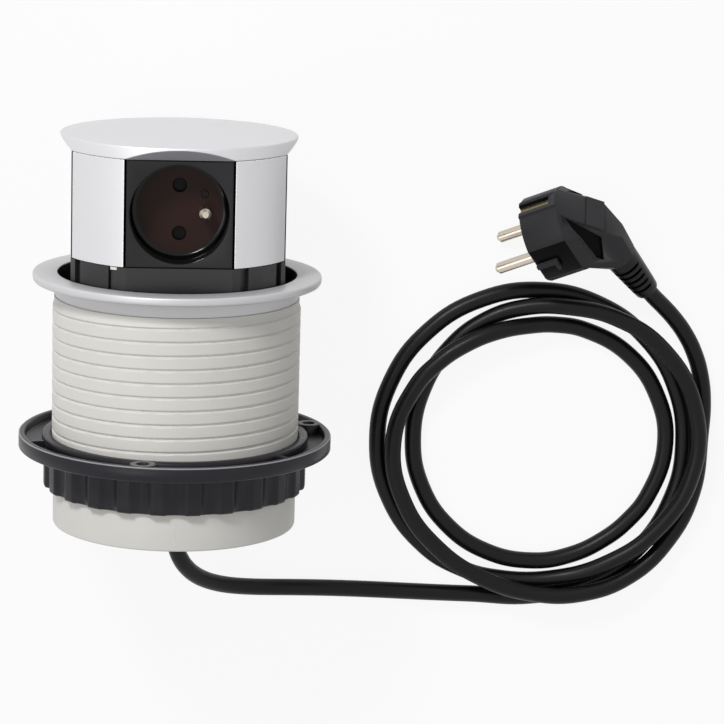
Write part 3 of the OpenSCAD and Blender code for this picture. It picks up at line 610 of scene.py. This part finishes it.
class DESKSOCKET_OT_stage(bpy.types.Operator):
    """Makes the camera, the pale floor and the soft light"""

    bl_idname = "desk_socket.stage"
    bl_label = "Camera, floor and light"

    def execute(self, context):
        stage = settings()[2]
        scene = context.scene
        scene.view_settings.view_transform = "Standard"
        lens = bpy.data.cameras.new("camera")
        lens.lens = stage.lens
        lens.sensor_width = 36
        lens.clip_end = 20
        scene.camera = added("camera", lens)
        scene.camera.location = stage.camera_at
        scene.camera.rotation_euler = stage.camera_turn
        # Each light's place and size in metres, and its power
        for name, at, size, power in (
                ("key_light", (-0.5, 0.95, 0.95), 0.28, stage.key_power),
                ("front_light", (-0.65, -0.05, 1.1), 0.6, stage.fill_power)):
            lamp = bpy.data.lights.new(name, "AREA")
            lamp.shape = "SQUARE"
            lamp.size = size
            lamp.energy = power
            light = added(name, lamp)
            light.location = at
            light.rotation_euler = Vector(at).to_track_quat("Z", "Y").to_euler()
        self.paint_world(scene)
        self.make_floor()
        return {"FINISHED"}

    def paint_world(self, scene):
        """A white room for the eye and for reflections, and a plain soft light for the rest."""
        world = bpy.data.worlds.new("studio")
        world.use_nodes = True
        scene.world = world
        tree = world.node_tree
        soft_light, white = 0.42, 1.0
        strength = add_node(
            tree, "ShaderNodeMapRange",
            {"Value": self.seen_rays(tree), "To Min": soft_light, "To Max": white}).outputs["Result"]
        background = tree.nodes["Background"]
        background.inputs["Color"].default_value = (1, 1, 1, 1)
        tree.links.new(strength, background.inputs["Strength"])

    def seen_rays(self, tree):
        """1 for camera, glossy and transmission rays, and 0 for the rest."""
        path = add_node(tree, "ShaderNodeLightPath")
        some = add_node(
            tree, "ShaderNodeMath",
            {0: path.outputs["Is Camera Ray"], 1: path.outputs["Is Glossy Ray"]}, operation="MAXIMUM")
        return add_node(
            tree, "ShaderNodeMath",
            {0: some.outputs[0], 1: path.outputs["Is Transmission Ray"]}, operation="MAXIMUM").outputs[0]

    def make_floor(self):
        """A white painted board under the part: it looks white and keeps a soft shadow."""
        half, white_share = 3.0, 0.9
        mesh = bpy.data.meshes.new("floor")
        mesh.from_pydata(
            [(x, y, TABLE) for x, y in rectangle(-half, -half, half, half)], [], [(0, 1, 2, 3)])
        paint = bpy.data.materials.new("white_paint_on_board")
        paint.use_nodes = True
        tree = paint.node_tree
        shader = tree.nodes["Principled BSDF"]
        shader.inputs["Base Color"].default_value = (0.8, 0.8, 0.8, 1)
        shader.inputs["Roughness"].default_value = 0.7
        glow = add_node(tree, "ShaderNodeEmission", {"Color": (1, 1, 1, 1), "Strength": 1.0})
        share = add_node(
            tree, "ShaderNodeMath", {0: self.seen_rays(tree), 1: white_share}, operation="MULTIPLY")
        mixed = add_node(
            tree, "ShaderNodeMixShader",
            {0: share.outputs[0], 1: shader.outputs["BSDF"], 2: glow.outputs["Emission"]})
        tree.links.new(mixed.outputs["Shader"], tree.nodes["Material Output"].inputs["Surface"])
        mesh.materials.append(paint)
        return added("floor", mesh)


class DESKSOCKET_OT_cord(bpy.types.Operator):
    """Lays the cord from the gland through its coil to the plug"""

    bl_idname = "desk_socket.cord"
    bl_label = "Cord"

    def execute(self, context):
        diameter = settings()[0].cord_diameter
        route = [p * MM for p in cord_route(diameter / MM)]
        line = bpy.data.curves.new("cord", "CURVE")
        line.dimensions = "3D"
        line.bevel_depth = diameter / 2
        line.bevel_resolution = 8
        line.resolution_u = 8
        line.use_fill_caps = True
        spline = line.splines.new("BEZIER")
        spline.bezier_points.add(len(route) - 1)
        for point, at in zip(spline.bezier_points, route):
            point.co = at
            point.handle_left_type = "AUTO"
            point.handle_right_type = "AUTO"
        line.materials.append(cord_pvc())
        cord = added("cord", line)
        seat(cord, "housing", "cord_black", "cord_lead", "cord_coil", "cord_tail")
        return {"FINISHED"}


class DESKSOCKET_OT_plug(bpy.types.Operator):
    """Makes the plug's front, grip and bend relief, and finishes its pins and clips"""

    bl_idname = "desk_socket.plug"
    bl_label = "Plug"

    def execute(self, context):
        seat(self.front(), "housing", "black_plastic", "plug_bridge")
        seat(self.grip(), "housing", "black_plastic", "plug_grip")
        seat(self.relief(), "housing", "cord_black", "plug_boot")
        dress(nickel(), "plug_pins")
        dress(brass(), "plug_earth_clips")
        return {"FINISHED"}

    def front_outline(self):
        """Round front with two flat guide sides and a low block for each earth clip."""
        block_half, block_out, chamfer, arc_steps = 4.5, 18.8, 0.4, 8
        flat_half = math.sqrt(PLUG_R ** 2 - PLUG_FLAT ** 2)
        quarter = [(PLUG_FLAT, 0), (PLUG_FLAT, flat_half)]
        first = math.atan2(flat_half, PLUG_FLAT)
        last = math.acos(block_half / PLUG_R)
        for k in range(1, arc_steps + 1):
            a = first + (last - first) * k / arc_steps
            quarter.append((PLUG_R * math.cos(a), PLUG_R * math.sin(a)))
        quarter.append((block_half - chamfer, block_out))
        half = quarter + [(-x, y) for x, y in reversed(quarter[1:])] + [(-PLUG_FLAT, 0)]
        return half + [(x, -y) for x, y in reversed(half[1:-1])]

    def front(self):
        """The round front with its earth slots, and a rib with a stop on each flat side; the flat sides and
        the slots' walls are painted near black as shade.
        """
        outline = self.front_outline()
        # The front edge is rounded: height, and share of the outline there
        edge = ((-PLUG_FRONT, 1), (-0.7, 1), (-0.2, 0.985), (0, 0.965))
        rings = [[(x * k, y * k, h) for x, y in outline] for h, k in edge]
        body = lofted("front_body", rings, [plug_pvc(), plug_painted_shade()], PLUG)
        slot_half, slot_in, slot_out, slot_len, past_front = 2.3, 16.2, 21, 14, 1
        bar_in, bar_out, bar_top, bar_round = 16.0, 18.1, 1.1, 0.25
        parts = [body]
        for s in (-1, 1):
            slot = rectangle(-slot_half, s * slot_in, slot_half, s * slot_out)
            rings = [[(x, y, h) for x, y in slot] for h in (-slot_len, past_front)]
            cut(body, lofted("slot", rings, [plug_pvc()], PLUG))
            for name, bar_low, low, high in (("rib", -0.9, -8.2, -0.4), ("stop", -4.2, -9.9, -8.1)):
                bar = rectangle(s * bar_in, bar_low, s * bar_out, bar_top)
                parts.append(prism(name, bar, low, high, [plug_pvc()], PLUG, bar_round))
        across = PLUG.to_3x3() @ Vector((1, 0, 0))
        facing, least_area = 0.98, 1e-5
        # Faces across the plug, on its flat sides and in its earth slots, take the near black finish:
        # painted shade.
        for face in body.data.polygons:
            if abs(face.normal.dot(across)) > facing and face.area > least_area:
                face.material_index = 1
        return joined("plug_front", parts)

    def grip(self):
        """The wedge with a finger pocket in each side, painted near black as shade, and a raised plate to
        pull on.
        """
        wedge = self.wedge()
        pocket = ((8.1, 13.4, -19.3), (9.9, -1.5, -29), (11.1, -12.7, -24.9), (12.4, -9, -23.3),
                  (11.3, 9.6, -20.8))
        pocket_depth, clear = 1.8, 4
        # The way the pocket opens
        out_x, out_y, out_z = 0.78, 0.28, -0.56
        for s in (-1, 1):
            # The pockets' faces take the near black finish: painted shade.
            rings = [[((x + out_x * d) * s, y + out_y * d, z + out_z * d) for x, y, z in pocket]
                     for d in (-pocket_depth, clear)]
            cut(wedge, lofted("pocket", rings, [plug_painted_shade()], PLUG))
        plate = []
        # The plate's upper and lower edge on the back slope, and the way the slope faces
        high_y, high_z, low_y, low_z = 6.3, -25.2, 0.2, -30.5
        lift_y, lift_z = 0.654, -0.757
        for half, proud in ((8.7, -0.4), (8.7, 0.8), (8.3, 1.1)):
            y, z = lift_y * proud, lift_z * proud
            plate.append([(-half, high_y + y, high_z + z), (half, high_y + y, high_z + z),
                          (half, low_y + y, low_z + z), (-half, low_y + y, low_z + z)])
        return joined("plug_grip_wedge", [wedge, lofted("plate", plate, [plug_pvc()], PLUG)])

    def wedge(self):
        """A faceted wedge from the round front to the bend relief."""
        side = [(0, PLUG_R), (7, 16.9), (13.2, 12.7), (PLUG_FLAT, 8.5), (PLUG_FLAT, -8.5),
                (9.15, -15.85), (0, -PLUG_R)]
        ring = side + [(-x, y) for x, y in reversed(side[1:-1])]
        back = ((9, 0, -30.7), (4, -10, -34.6))
        end_r, end_steps = 7.4, 12
        seam = -PLUG_FRONT + 0.05
        below_seam = seam - 0.1
        soft, level = 22, 4
        points = [Vector((x, y, seam)) for x, y in ring]
        points += [Vector((s * w, y, z)) for s in (-1, 1) for w, y, z in back]
        turn = Matrix.Rotation(math.radians(90) + BOOT_TILT, 3, "X")
        points += [BOOT_FROM + turn @ Vector((end_r * math.cos(a), end_r * math.sin(a), 0))
                   for a in (math.tau * k / end_steps for k in range(end_steps))]
        shape = bmesh.new()
        for p in points:
            shape.verts.new(p * MM)
        hull = bmesh.ops.convex_hull(shape, input=shape.verts)
        bmesh.ops.delete(shape, geom=hull["geom_interior"], context="VERTS")
        bmesh.ops.dissolve_limit(
            shape, angle_limit=math.radians(level), verts=shape.verts, edges=shape.edges)
        marks = shape.edges.layers.float.new("bevel_weight_edge")
        for edge in shape.edges:
            on_seam = all(v.co.z > below_seam * MM for v in edge.verts)
            edge[marks] = 0 if on_seam or edge.calc_face_angle() < math.radians(soft) else 1
        wedge = shaped("wedge", shape, [plug_pvc()], PLUG, soft)
        soften(wedge, 0.5, marked=True)
        return wedge

    def relief(self):
        """A tapered sleeve, slit from both sides so that it bends with the cord."""
        root_r, tip_r, start, segments = 7.2, 5.2, -1.5, 64
        slits = settings()[0].boot_slits
        pitch, width, first, lip = 3.3, 1.5, 4.0, 0.1
        # A slit leaves a flat core this thick each way, and never goes deeper than least_r
        core, least_r, spine = 3.0, 4.0, 0.2

        def profile(a):
            points = [(0, start), (root_r - 0.5, start), (root_r, start + 0.5)]
            for k in range(slits):
                low = first + pitch * k
                high = low + width
                for h, inside in ((low, False), (low + lip, True), (high - lip, True), (high, False)):
                    r = root_r + (tip_r - root_r) * h / BOOT_LEN
                    if inside and abs(math.sin(a)) > spine:
                        r = max(least_r, min(r, core / abs(math.sin(a))))
                    points.append((r, h))
            return points + [(tip_r, BOOT_LEN - 0.9), (tip_r - 0.3, BOOT_LEN - 0.2),
                             (tip_r - 0.8, BOOT_LEN), (0, BOOT_LEN)]

        tilt = Matrix.Rotation(math.radians(90) + BOOT_TILT, 4, "X")
        place = PLUG @ Matrix.Translation(BOOT_FROM * MM) @ tilt
        return turned("plug_relief", profile, segments, [cord_pvc()], place)


class DESKSOCKET_OT_barrel(bpy.types.Operator):
    """Makes the barrel with its thread"""

    bl_idname = "desk_socket.barrel"
    bl_label = "Threaded barrel"

    def execute(self, context):
        sizes = settings()[0]
        pitch = sizes.thread_pitch / MM
        depth = sizes.thread_depth / MM
        turns, rows_a_turn, segments = 13, 24, 160
        plain_r = CREST_R - 0.6
        bore_r = plain_r - 1.7
        foot, top = BARREL_BOTTOM, BARREL_TOP
        low = top - 2 - turns * pitch
        rows = [low + pitch * k / rows_a_turn for k in range(turns * rows_a_turn + 1)]
        # Where the groove's two slopes start and how long they are, in turns
        fall_from, fall, rise_from, rise = 0.74, 0.09, 0.87, 0.13
        fade_in, fade_out = 3, 2

        def groove(phase):
            fallen = min(1, max(0, (phase - fall_from) / fall))
            sunk = fallen - min(1, max(0, (phase - rise_from) / rise))
            return sunk * sunk * (3 - 2 * sunk)

        def profile(a):
            turn = (a / math.tau - 0.25) % 1
            points = [(bore_r, foot), (plain_r - 0.7, foot), (plain_r - 0.2, foot + 0.2),
                      (plain_r, foot + 0.8), (plain_r, low - 1)]
            for h in rows:
                phase = ((h - low) / pitch - turn) % 1
                fade = min(1, (h - low) / fade_in, (rows[-1] - h) / fade_out)
                r = CREST_R - depth * groove(phase)
                points.append((plain_r + (r - plain_r) * max(0, fade), h))
            return points + [(plain_r, top), (bore_r, top)]

        # The bore takes the black finish: painted shade inside the pale barrel.
        bands = [0] * (len(rows) + 6) + [1]
        tube = turned("tube", profile, segments, [barrel_abs(), dark_inside_and_painted_shade()], bands=bands, sharp=50)
        half, proud, sunk_in = 0.14, 0.07, 0.3
        seam = rectangle(-half, -plain_r - proud, half, -plain_r + sunk_in)
        line = prism("line", seam, foot + 0.8, low - 1.2, [barrel_abs()], round_mm=0.03)
        barrel = joined("barrel_thread", [tube, line])
        seat(barrel, "housing", "grey_plastic", "threaded_barrel")
        return {"FINISHED"}


class DESKSOCKET_OT_trim(bpy.types.Operator):
    """Makes the trim ring with its rolled edge and collar"""

    bl_idname = "desk_socket.trim"
    bl_label = "Trim ring"

    def execute(self, context):
        hole = TRIM_R - 10
        top = TRIM_TOP
        outline = [
            (hole, COLLAR_BOTTOM), (hole + 0.9, COLLAR_BOTTOM), (hole + 2.2, -0.6), (hole + 2.9, 0),
            (TRIM_R - 1.2, 0), (TRIM_R - 0.5, 0.3), (TRIM_R - 0.1, 0.9), (TRIM_R, 1.6), (TRIM_R, top - 0.9),
            (TRIM_R - 0.12, top - 0.4), (TRIM_R - 0.4, top - 0.12), (TRIM_R - 0.9, top), (hole + 0.5, top),
            (hole + 0.15, top - 0.15), (hole, top - 0.5)]
        # The inner wall takes the black finish: painted shade inside the ring.
        bands = [0] * (len(outline) - 1) + [1]
        ring = turned("trim_ring_turned", lambda a: outline, 192, [anodised_trim(), dark_inside_and_painted_shade()],
                      bands=bands, sharp=40)
        seat(ring, "housing", "anodised_trim", "trim_ring")
        return {"FINISHED"}


class DESKSOCKET_OT_clamp(bpy.types.Operator):
    """Makes the clamp flange with its ribs and bosses, and the ribbed grip under it"""

    bl_idname = "desk_socket.clamp"
    bl_label = "Clamp"

    def execute(self, context):
        seat(self.flange(), "flange", "charcoal_plastic", "clamp_flange")
        seat(self.nut(), "nut", "charcoal_plastic", "grip_nut")
        return {"FINISHED"}

    def flange(self):
        """A ring with a standing rim, three ribs and three bosses for screws."""
        wall, edge = 2.5, 0.45
        low, top = FLANGE_BOTTOM, FLANGE_TOP
        web = low + wall
        inside = FLANGE_R - wall
        hole = CREST_R + 2.8
        rim = [(hole, low), (FLANGE_R - edge, low), (FLANGE_R, low + edge), (FLANGE_R, top - edge),
               (FLANGE_R - edge, top), (inside + edge, top), (inside, top - edge), (inside, web + edge),
               (inside - edge, web), (hole, web)]
        # The rim's outer top edge takes the pale grey finish: a painted highlight.
        rim_highlight_bands = [0, 0, 0, 1, 0, 0, 0, 0, 0, 0]
        parts = [turned("rim", lambda a: rim, 192, [clamp_nylon(), rim_edge_painted_highlight()], bands=rim_highlight_bands, sharp=50)]
        boss_r, hole_r, proud, edge = 5.2, 2.4, 0.1, 0.3
        boss_at = FLANGE_R - 0.4 - boss_r
        boss_low, boss_high = low + 1, top + proud
        boss = [(hole_r, boss_low), (boss_r, boss_low), (boss_r, boss_high - edge),
                (boss_r - edge, boss_high), (hole_r + edge, boss_high), (hole_r, boss_high - edge)]
        # The bosses' top faces take the lighter grey: painted light.
        boss_light_bands = [0, 0, 0, 1, 0, 0]
        rib_half = 1
        rib = rectangle(-rib_half, -inside - 0.5, rib_half, -hole - 2.2)
        for degrees in (-13, 107, 227):
            spin = Matrix.Rotation(math.radians(degrees), 4, "Z")
            place = LAY @ spin @ Matrix.Translation((0, -boss_at * MM, 0))
            parts.append(turned("boss", lambda a: boss, 40, [clamp_nylon(), painted_light_boss_top()], place,
                                boss_light_bands, sharp=50))
            place = LAY @ Matrix.Rotation(math.radians(degrees + 60), 4, "Z")
            parts.append(prism("rib", rib, boss_low, top - 0.5, [clamp_nylon()], place, 0.3))
        return joined("clamp_flange_moulded", parts)

    def nut(self):
        """The fluted grip, with a neck and a lip that hold the flange."""
        sizes = settings()[0]
        bore, grip = CREST_R + 0.4, CREST_R + 3.4
        low, top = CLAMP_BOTTOM, FLANGE_BOTTOM - 0.4
        neck, lip, lip_t = bore + 2, bore + 3.6, 2.8
        depth = sizes.flute_depth / MM
        flute_r, full_edge, edge_share, segments = 5.5, 1.3, 0.6, 384
        step = math.tau / sizes.flutes

        def fluted(a):
            off = (a + math.radians(90) + step / 2) % step - step / 2
            centre = grip + flute_r - depth
            inside = flute_r ** 2 - (centre * math.sin(off)) ** 2
            if inside <= 0:
                return grip
            return min(grip, centre * math.cos(off) - math.sqrt(inside))

        def profile(a):
            r = fluted(a)
            edge = min(full_edge, (r - bore) * edge_share)
            return [(bore, low), (r - edge, low), (r - edge * 0.4, low + edge * 0.2),
                    (r - edge * 0.08, low + edge * 0.6), (r, low + edge * 1.15),
                    (r, top - 2.2), (r + (grip - r) * 0.4, top - 1.5), (grip, top - 1.1), (grip, top - 0.3),
                    (grip - 0.3, top), (neck, top), (neck, NECK_TOP - lip_t), (lip, NECK_TOP - lip_t),
                    (lip, NECK_TOP - 0.4), (lip - 0.4, NECK_TOP), (bore + 0.3, NECK_TOP),
                    (bore, NECK_TOP - 0.3)]

        return turned("grip_nut_moulded", profile, segments, [clamp_nylon()], sharp=50)


class DESKSOCKET_OT_tower(bpy.types.Operator):
    """Makes the cap and the corner panels, and finishes the skirt"""

    bl_idname = "desk_socket.tower"
    bl_label = "Cap, panels and skirt"

    def execute(self, context):
        seat(self.cap(), "tower", "satin_silver", "cap")
        for turn, corner in enumerate(("front_right", "back_right", "back_left", "front_left")):
            node = "panel_" + corner
            seat(self.panel(node + "_curved", turn), "tower", "satin_silver", node)
        dress(skirt_abs(), "skirt")
        self.dress_springs()
        return {"FINISHED"}

    def dress_springs(self):
        """Dark springs with a pale tab at the top of each."""
        dress(dark_inside_and_painted_shade(), "friction_springs")
        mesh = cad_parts["friction_springs"].data
        mesh.materials.append(ivory_nylon())
        tab_height = 1.3 * MM
        tab_low = max(v.co.y for v in mesh.vertices) - tab_height
        for face in mesh.polygons:
            if min(mesh.vertices[v].co.y for v in face.vertices) > tab_low:
                face.material_index = 1

    def cap(self):
        """A disc whose underside slopes up to the edge above each socket."""
        low, top = CAP_BOTTOM, CAP_TOP
        slope_top = top - 1
        quarter = math.tau / 4

        def profile(a):
            off = abs((a + quarter / 2) % quarter - quarter / 2)
            reach = CAP_R * math.cos(off)
            lift = max(0, (reach - FACE_OUT) / (CAP_R - FACE_OUT)) * (slope_top - low)
            inner = min(FACE_OUT / math.cos(off), CAP_R - 0.3)
            return [(0, top), (CAP_R - 2, top), (CAP_R - 0.6, top - 0.02), (CAP_R - 0.25, top - 0.12),
                    (CAP_R - 0.06, top - 0.35), (CAP_R, top - 0.7), (CAP_R, low + lift + 0.3),
                    (CAP_R - 0.2, low + lift + 0.04), (inner, low), (0, low)]

        # The sloped underside takes the grey finish: painted shade on the silver cap.
        bands = [0, 0, 0, 0, 0, 0, 0, 1, 1, 1]
        return turned("cap_lacquered", profile, 256, [silver_lacquer(), cap_underside_painted_shade()],
                      bands=bands, sharp=30)

    def panel(self, name, turn):
        """A curved plate over one corner, from the front right one round to the front left one."""
        gap = settings()[0].panel_gap / MM
        outer = CAP_R - 0.2
        inner = outer - 1.6
        start = FACE_HALF_W + gap
        arc_steps = 24
        outline = []
        for r, way in ((outer, 1), (inner, -1)):
            first = math.asin(start / r)
            last = math.radians(90) - first
            steps = [first + (last - first) * k / arc_steps for k in range(arc_steps + 1)]
            outline += [(r * math.sin(a), -r * math.cos(a)) for a in steps[::way]]
        place = LAY @ Matrix.Rotation(math.radians(90 * turn), 4, "Z")
        # The panels' rounded edges take the near white finish: a painted highlight.
        return prism(name, outline, FACE_BOTTOM, FACE_TOP, [silver_lacquer(), panel_edge_highlight_painted()], place, 0.35)


class DESKSOCKET_OT_sockets(bpy.types.Operator):
    """Makes the four sockets and finishes their earth pins, shutters and contacts"""

    bl_idname = "desk_socket.sockets"
    bl_label = "Sockets"

    def execute(self, context):
        for turn, side in enumerate(("front", "right", "back", "left")):
            node = "socket_" + side
            seat(self.socket(node + "_moulded", turn), "tower", "socket_black", node)
        dress(nickel(), "earth_pins")
        dress(shutter_black(), "shutter_front", "shutter_right", "shutter_back", "shutter_left")
        dress(brass(), "live_contacts", "neutral_contacts", "live_busbar", "neutral_busbar", "earth_busbar")
        dress(ivory_nylon(), "contact_carriers", "busbar_posts")
        return {"FINISHED"}

    def socket(self, name, turn):
        """A square face with a round recess: its floor has two holes and a raised mark by the earth pin."""
        recess_r, floor_t, chamfer, corner_r, corner_steps = 19.35, 1.5, 0.5, 2.4, 6
        face, floor = FACE_OUT, SOCKET_BACK + floor_t
        half_h = (FACE_TOP - FACE_BOTTOM) / 2
        count = 96
        corners = [math.atan2(y, x) % math.tau
                   for x in (-FACE_HALF_W, FACE_HALF_W) for y in (-half_h, half_h)]
        angles = sorted([math.tau * k / count for k in range(count)] + corners)
        tiny = 1e-9

        def square(inset, out):
            ring = []
            for a in angles:
                c, s = math.cos(a), math.sin(a)
                reach = min((FACE_HALF_W - inset) / max(abs(c), tiny), (half_h - inset) / max(abs(s), tiny))
                ring.append((reach * c, reach * s, out))
            return ring

        def round_ring(r, out):
            return [(r * math.cos(a), r * math.sin(a), out) for a in angles]

        # Each ring with the number of the finish on the faces that lead to it
        rings = [
            (square(0, SOCKET_BACK), 0), (square(0, face - chamfer), 0), (square(chamfer, face), 0),
            (round_ring(recess_r + 0.3, face), 0), (round_ring(recess_r + 0.05, face - 0.15), 1),
            (round_ring(recess_r, face - 0.5), 1)]
        for k in range(corner_steps + 1):
            a = math.radians(90 * k / corner_steps)
            inset = corner_r * (1 - math.cos(a))
            rings.append((round_ring(recess_r - inset, floor + corner_r * (1 - math.sin(a))), 1))
        shape = bmesh.new()
        loops = [[shape.verts.new(Vector(p) * MM) for p in ring] for ring, finish in rings]
        for k in range(len(rings) - 1):
            self.bridge(shape, loops[k], loops[k + 1], rings[k + 1][1])
        edges = self.rim_edges(shape, loops[-1])
        for s in (-1, 1):
            edges += self.rim_edges(shape, self.hole(shape, s, floor, floor_t))
        filled = bmesh.ops.triangle_fill(shape, use_beauty=True, use_dissolve=False, edges=edges)
        for made in filled["geom"]:
            if isinstance(made, bmesh.types.BMFace):
                made.material_index = 2
        closed(shape)
        middle = Vector((0, (FACE_TOP + FACE_BOTTOM) / 2, 0)) * MM
        spin = Matrix.Rotation(math.radians(90 * turn), 4, "Y")
        finishes = [face_black(), recess_black(), recess_floor()]
        plate = shaped(name + "_plate", shape, finishes, spin @ Matrix.Translation(middle), 40)
        mark = [(1.1, 0), (1.7, 0), (1.7, 0.35), (1.55, 0.5), (1.25, 0.5), (1.1, 0.35)]
        mark_at = Vector((9.7, 6.2, floor)) * MM
        place = spin @ Matrix.Translation(middle + mark_at)
        ring = turned(name + "_mark", lambda a: mark, 32, [recess_black()], place, sharp=60)
        return joined(name, [plate, ring])

    def bridge(self, shape, upper, lower, finish):
        """Faces between two loops of points."""
        for i in range(len(upper)):
            j = (i + 1) % len(upper)
            shape.faces.new((upper[i], upper[j], lower[j], lower[i])).material_index = finish

    def rim_edges(self, shape, loop):
        """The edges along a loop of points."""
        return [shape.edges.get((loop[i], loop[(i + 1) % len(loop)])) for i in range(len(loop))]

    def hole(self, shape, side, floor, depth):
        """A contact hole's wall; gives back its upper loop."""
        hole_r, hole_out, lead_in, count = 2.6, 9.5, 0.25, 32
        loops = []
        for r, out in ((hole_r + lead_in, floor), (hole_r, floor - lead_in), (hole_r, floor - depth)):
            ring = [Vector((r * math.cos(a), side * hole_out + r * math.sin(a), out))
                    for a in (math.tau * k / count for k in range(count))]
            loops.append([shape.verts.new(p * MM) for p in ring])
        for upper, lower in zip(loops, loops[1:]):
            self.bridge(shape, upper, lower, 1)
        return loops[0]


class DESKSOCKET_OT_inside(bpy.types.Operator):
    """Finishes the pieces inside the tower and the base"""

    bl_idname = "desk_socket.inside"
    bl_label = "Inside and base"

    def execute(self, context):
        dress(dark_inside_and_painted_shade(), "guide_pads", "base_frame", "base_cover", "tower_frame", "tower_floor")
        dress(zinc(), "cover_screws", "gland_screws", "gland_plate", "cap_screws", "tower_screws")
        dress(ivory_nylon(), "terminal_block")
        dress(cord_pvc(), "cord_gland", "inner_lead")
        return {"FINISHED"}


class DESKSOCKET_PT_panel(bpy.types.Panel):
    """Lists the pieces and their sizes"""

    bl_label = "Desk socket"
    bl_idname = "DESKSOCKET_PT_panel"
    bl_space_type = "VIEW_3D"
    bl_region_type = "UI"
    bl_category = "Desk socket"

    def draw(self, context):
        for group in settings():
            box = self.layout.box()
            for name in group.bl_rna.properties.keys():
                if name not in ("rna_type", "name"):
                    box.prop(group, name)
        for operator in OPERATORS:
            self.layout.operator(operator.bl_idname)


OPERATORS = (
    DESKSOCKET_OT_stage, DESKSOCKET_OT_plug, DESKSOCKET_OT_cord, DESKSOCKET_OT_barrel, DESKSOCKET_OT_trim,
    DESKSOCKET_OT_clamp, DESKSOCKET_OT_tower, DESKSOCKET_OT_sockets, DESKSOCKET_OT_inside)
GROUPS = (DeskSocketSizes, DeskSocketColours, DeskSocketStage)


def register():
    """Adds the classes and the scene's property groups."""
    for made in GROUPS + OPERATORS + (DESKSOCKET_PT_panel,):
        bpy.utils.register_class(made)
    bpy.types.Scene.desk_socket_sizes = PointerProperty(type=DeskSocketSizes)
    bpy.types.Scene.desk_socket_colours = PointerProperty(type=DeskSocketColours)
    bpy.types.Scene.desk_socket_stage = PointerProperty(type=DeskSocketStage)


def unregister():
    """Takes them away again."""
    del bpy.types.Scene.desk_socket_stage
    del bpy.types.Scene.desk_socket_colours
    del bpy.types.Scene.desk_socket_sizes
    for made in reversed(GROUPS + OPERATORS + (DESKSOCKET_PT_panel,)):
        bpy.utils.unregister_class(made)


def main():
    """Builds the looks."""
    register()
    bpy.ops.desk_socket.stage()
    bpy.ops.desk_socket.plug()
    bpy.ops.desk_socket.cord()
    bpy.ops.desk_socket.barrel()
    bpy.ops.desk_socket.trim()
    bpy.ops.desk_socket.clamp()
    bpy.ops.desk_socket.tower()
    bpy.ops.desk_socket.sockets()
    bpy.ops.desk_socket.inside()


if __name__ == "__main__":
    main()
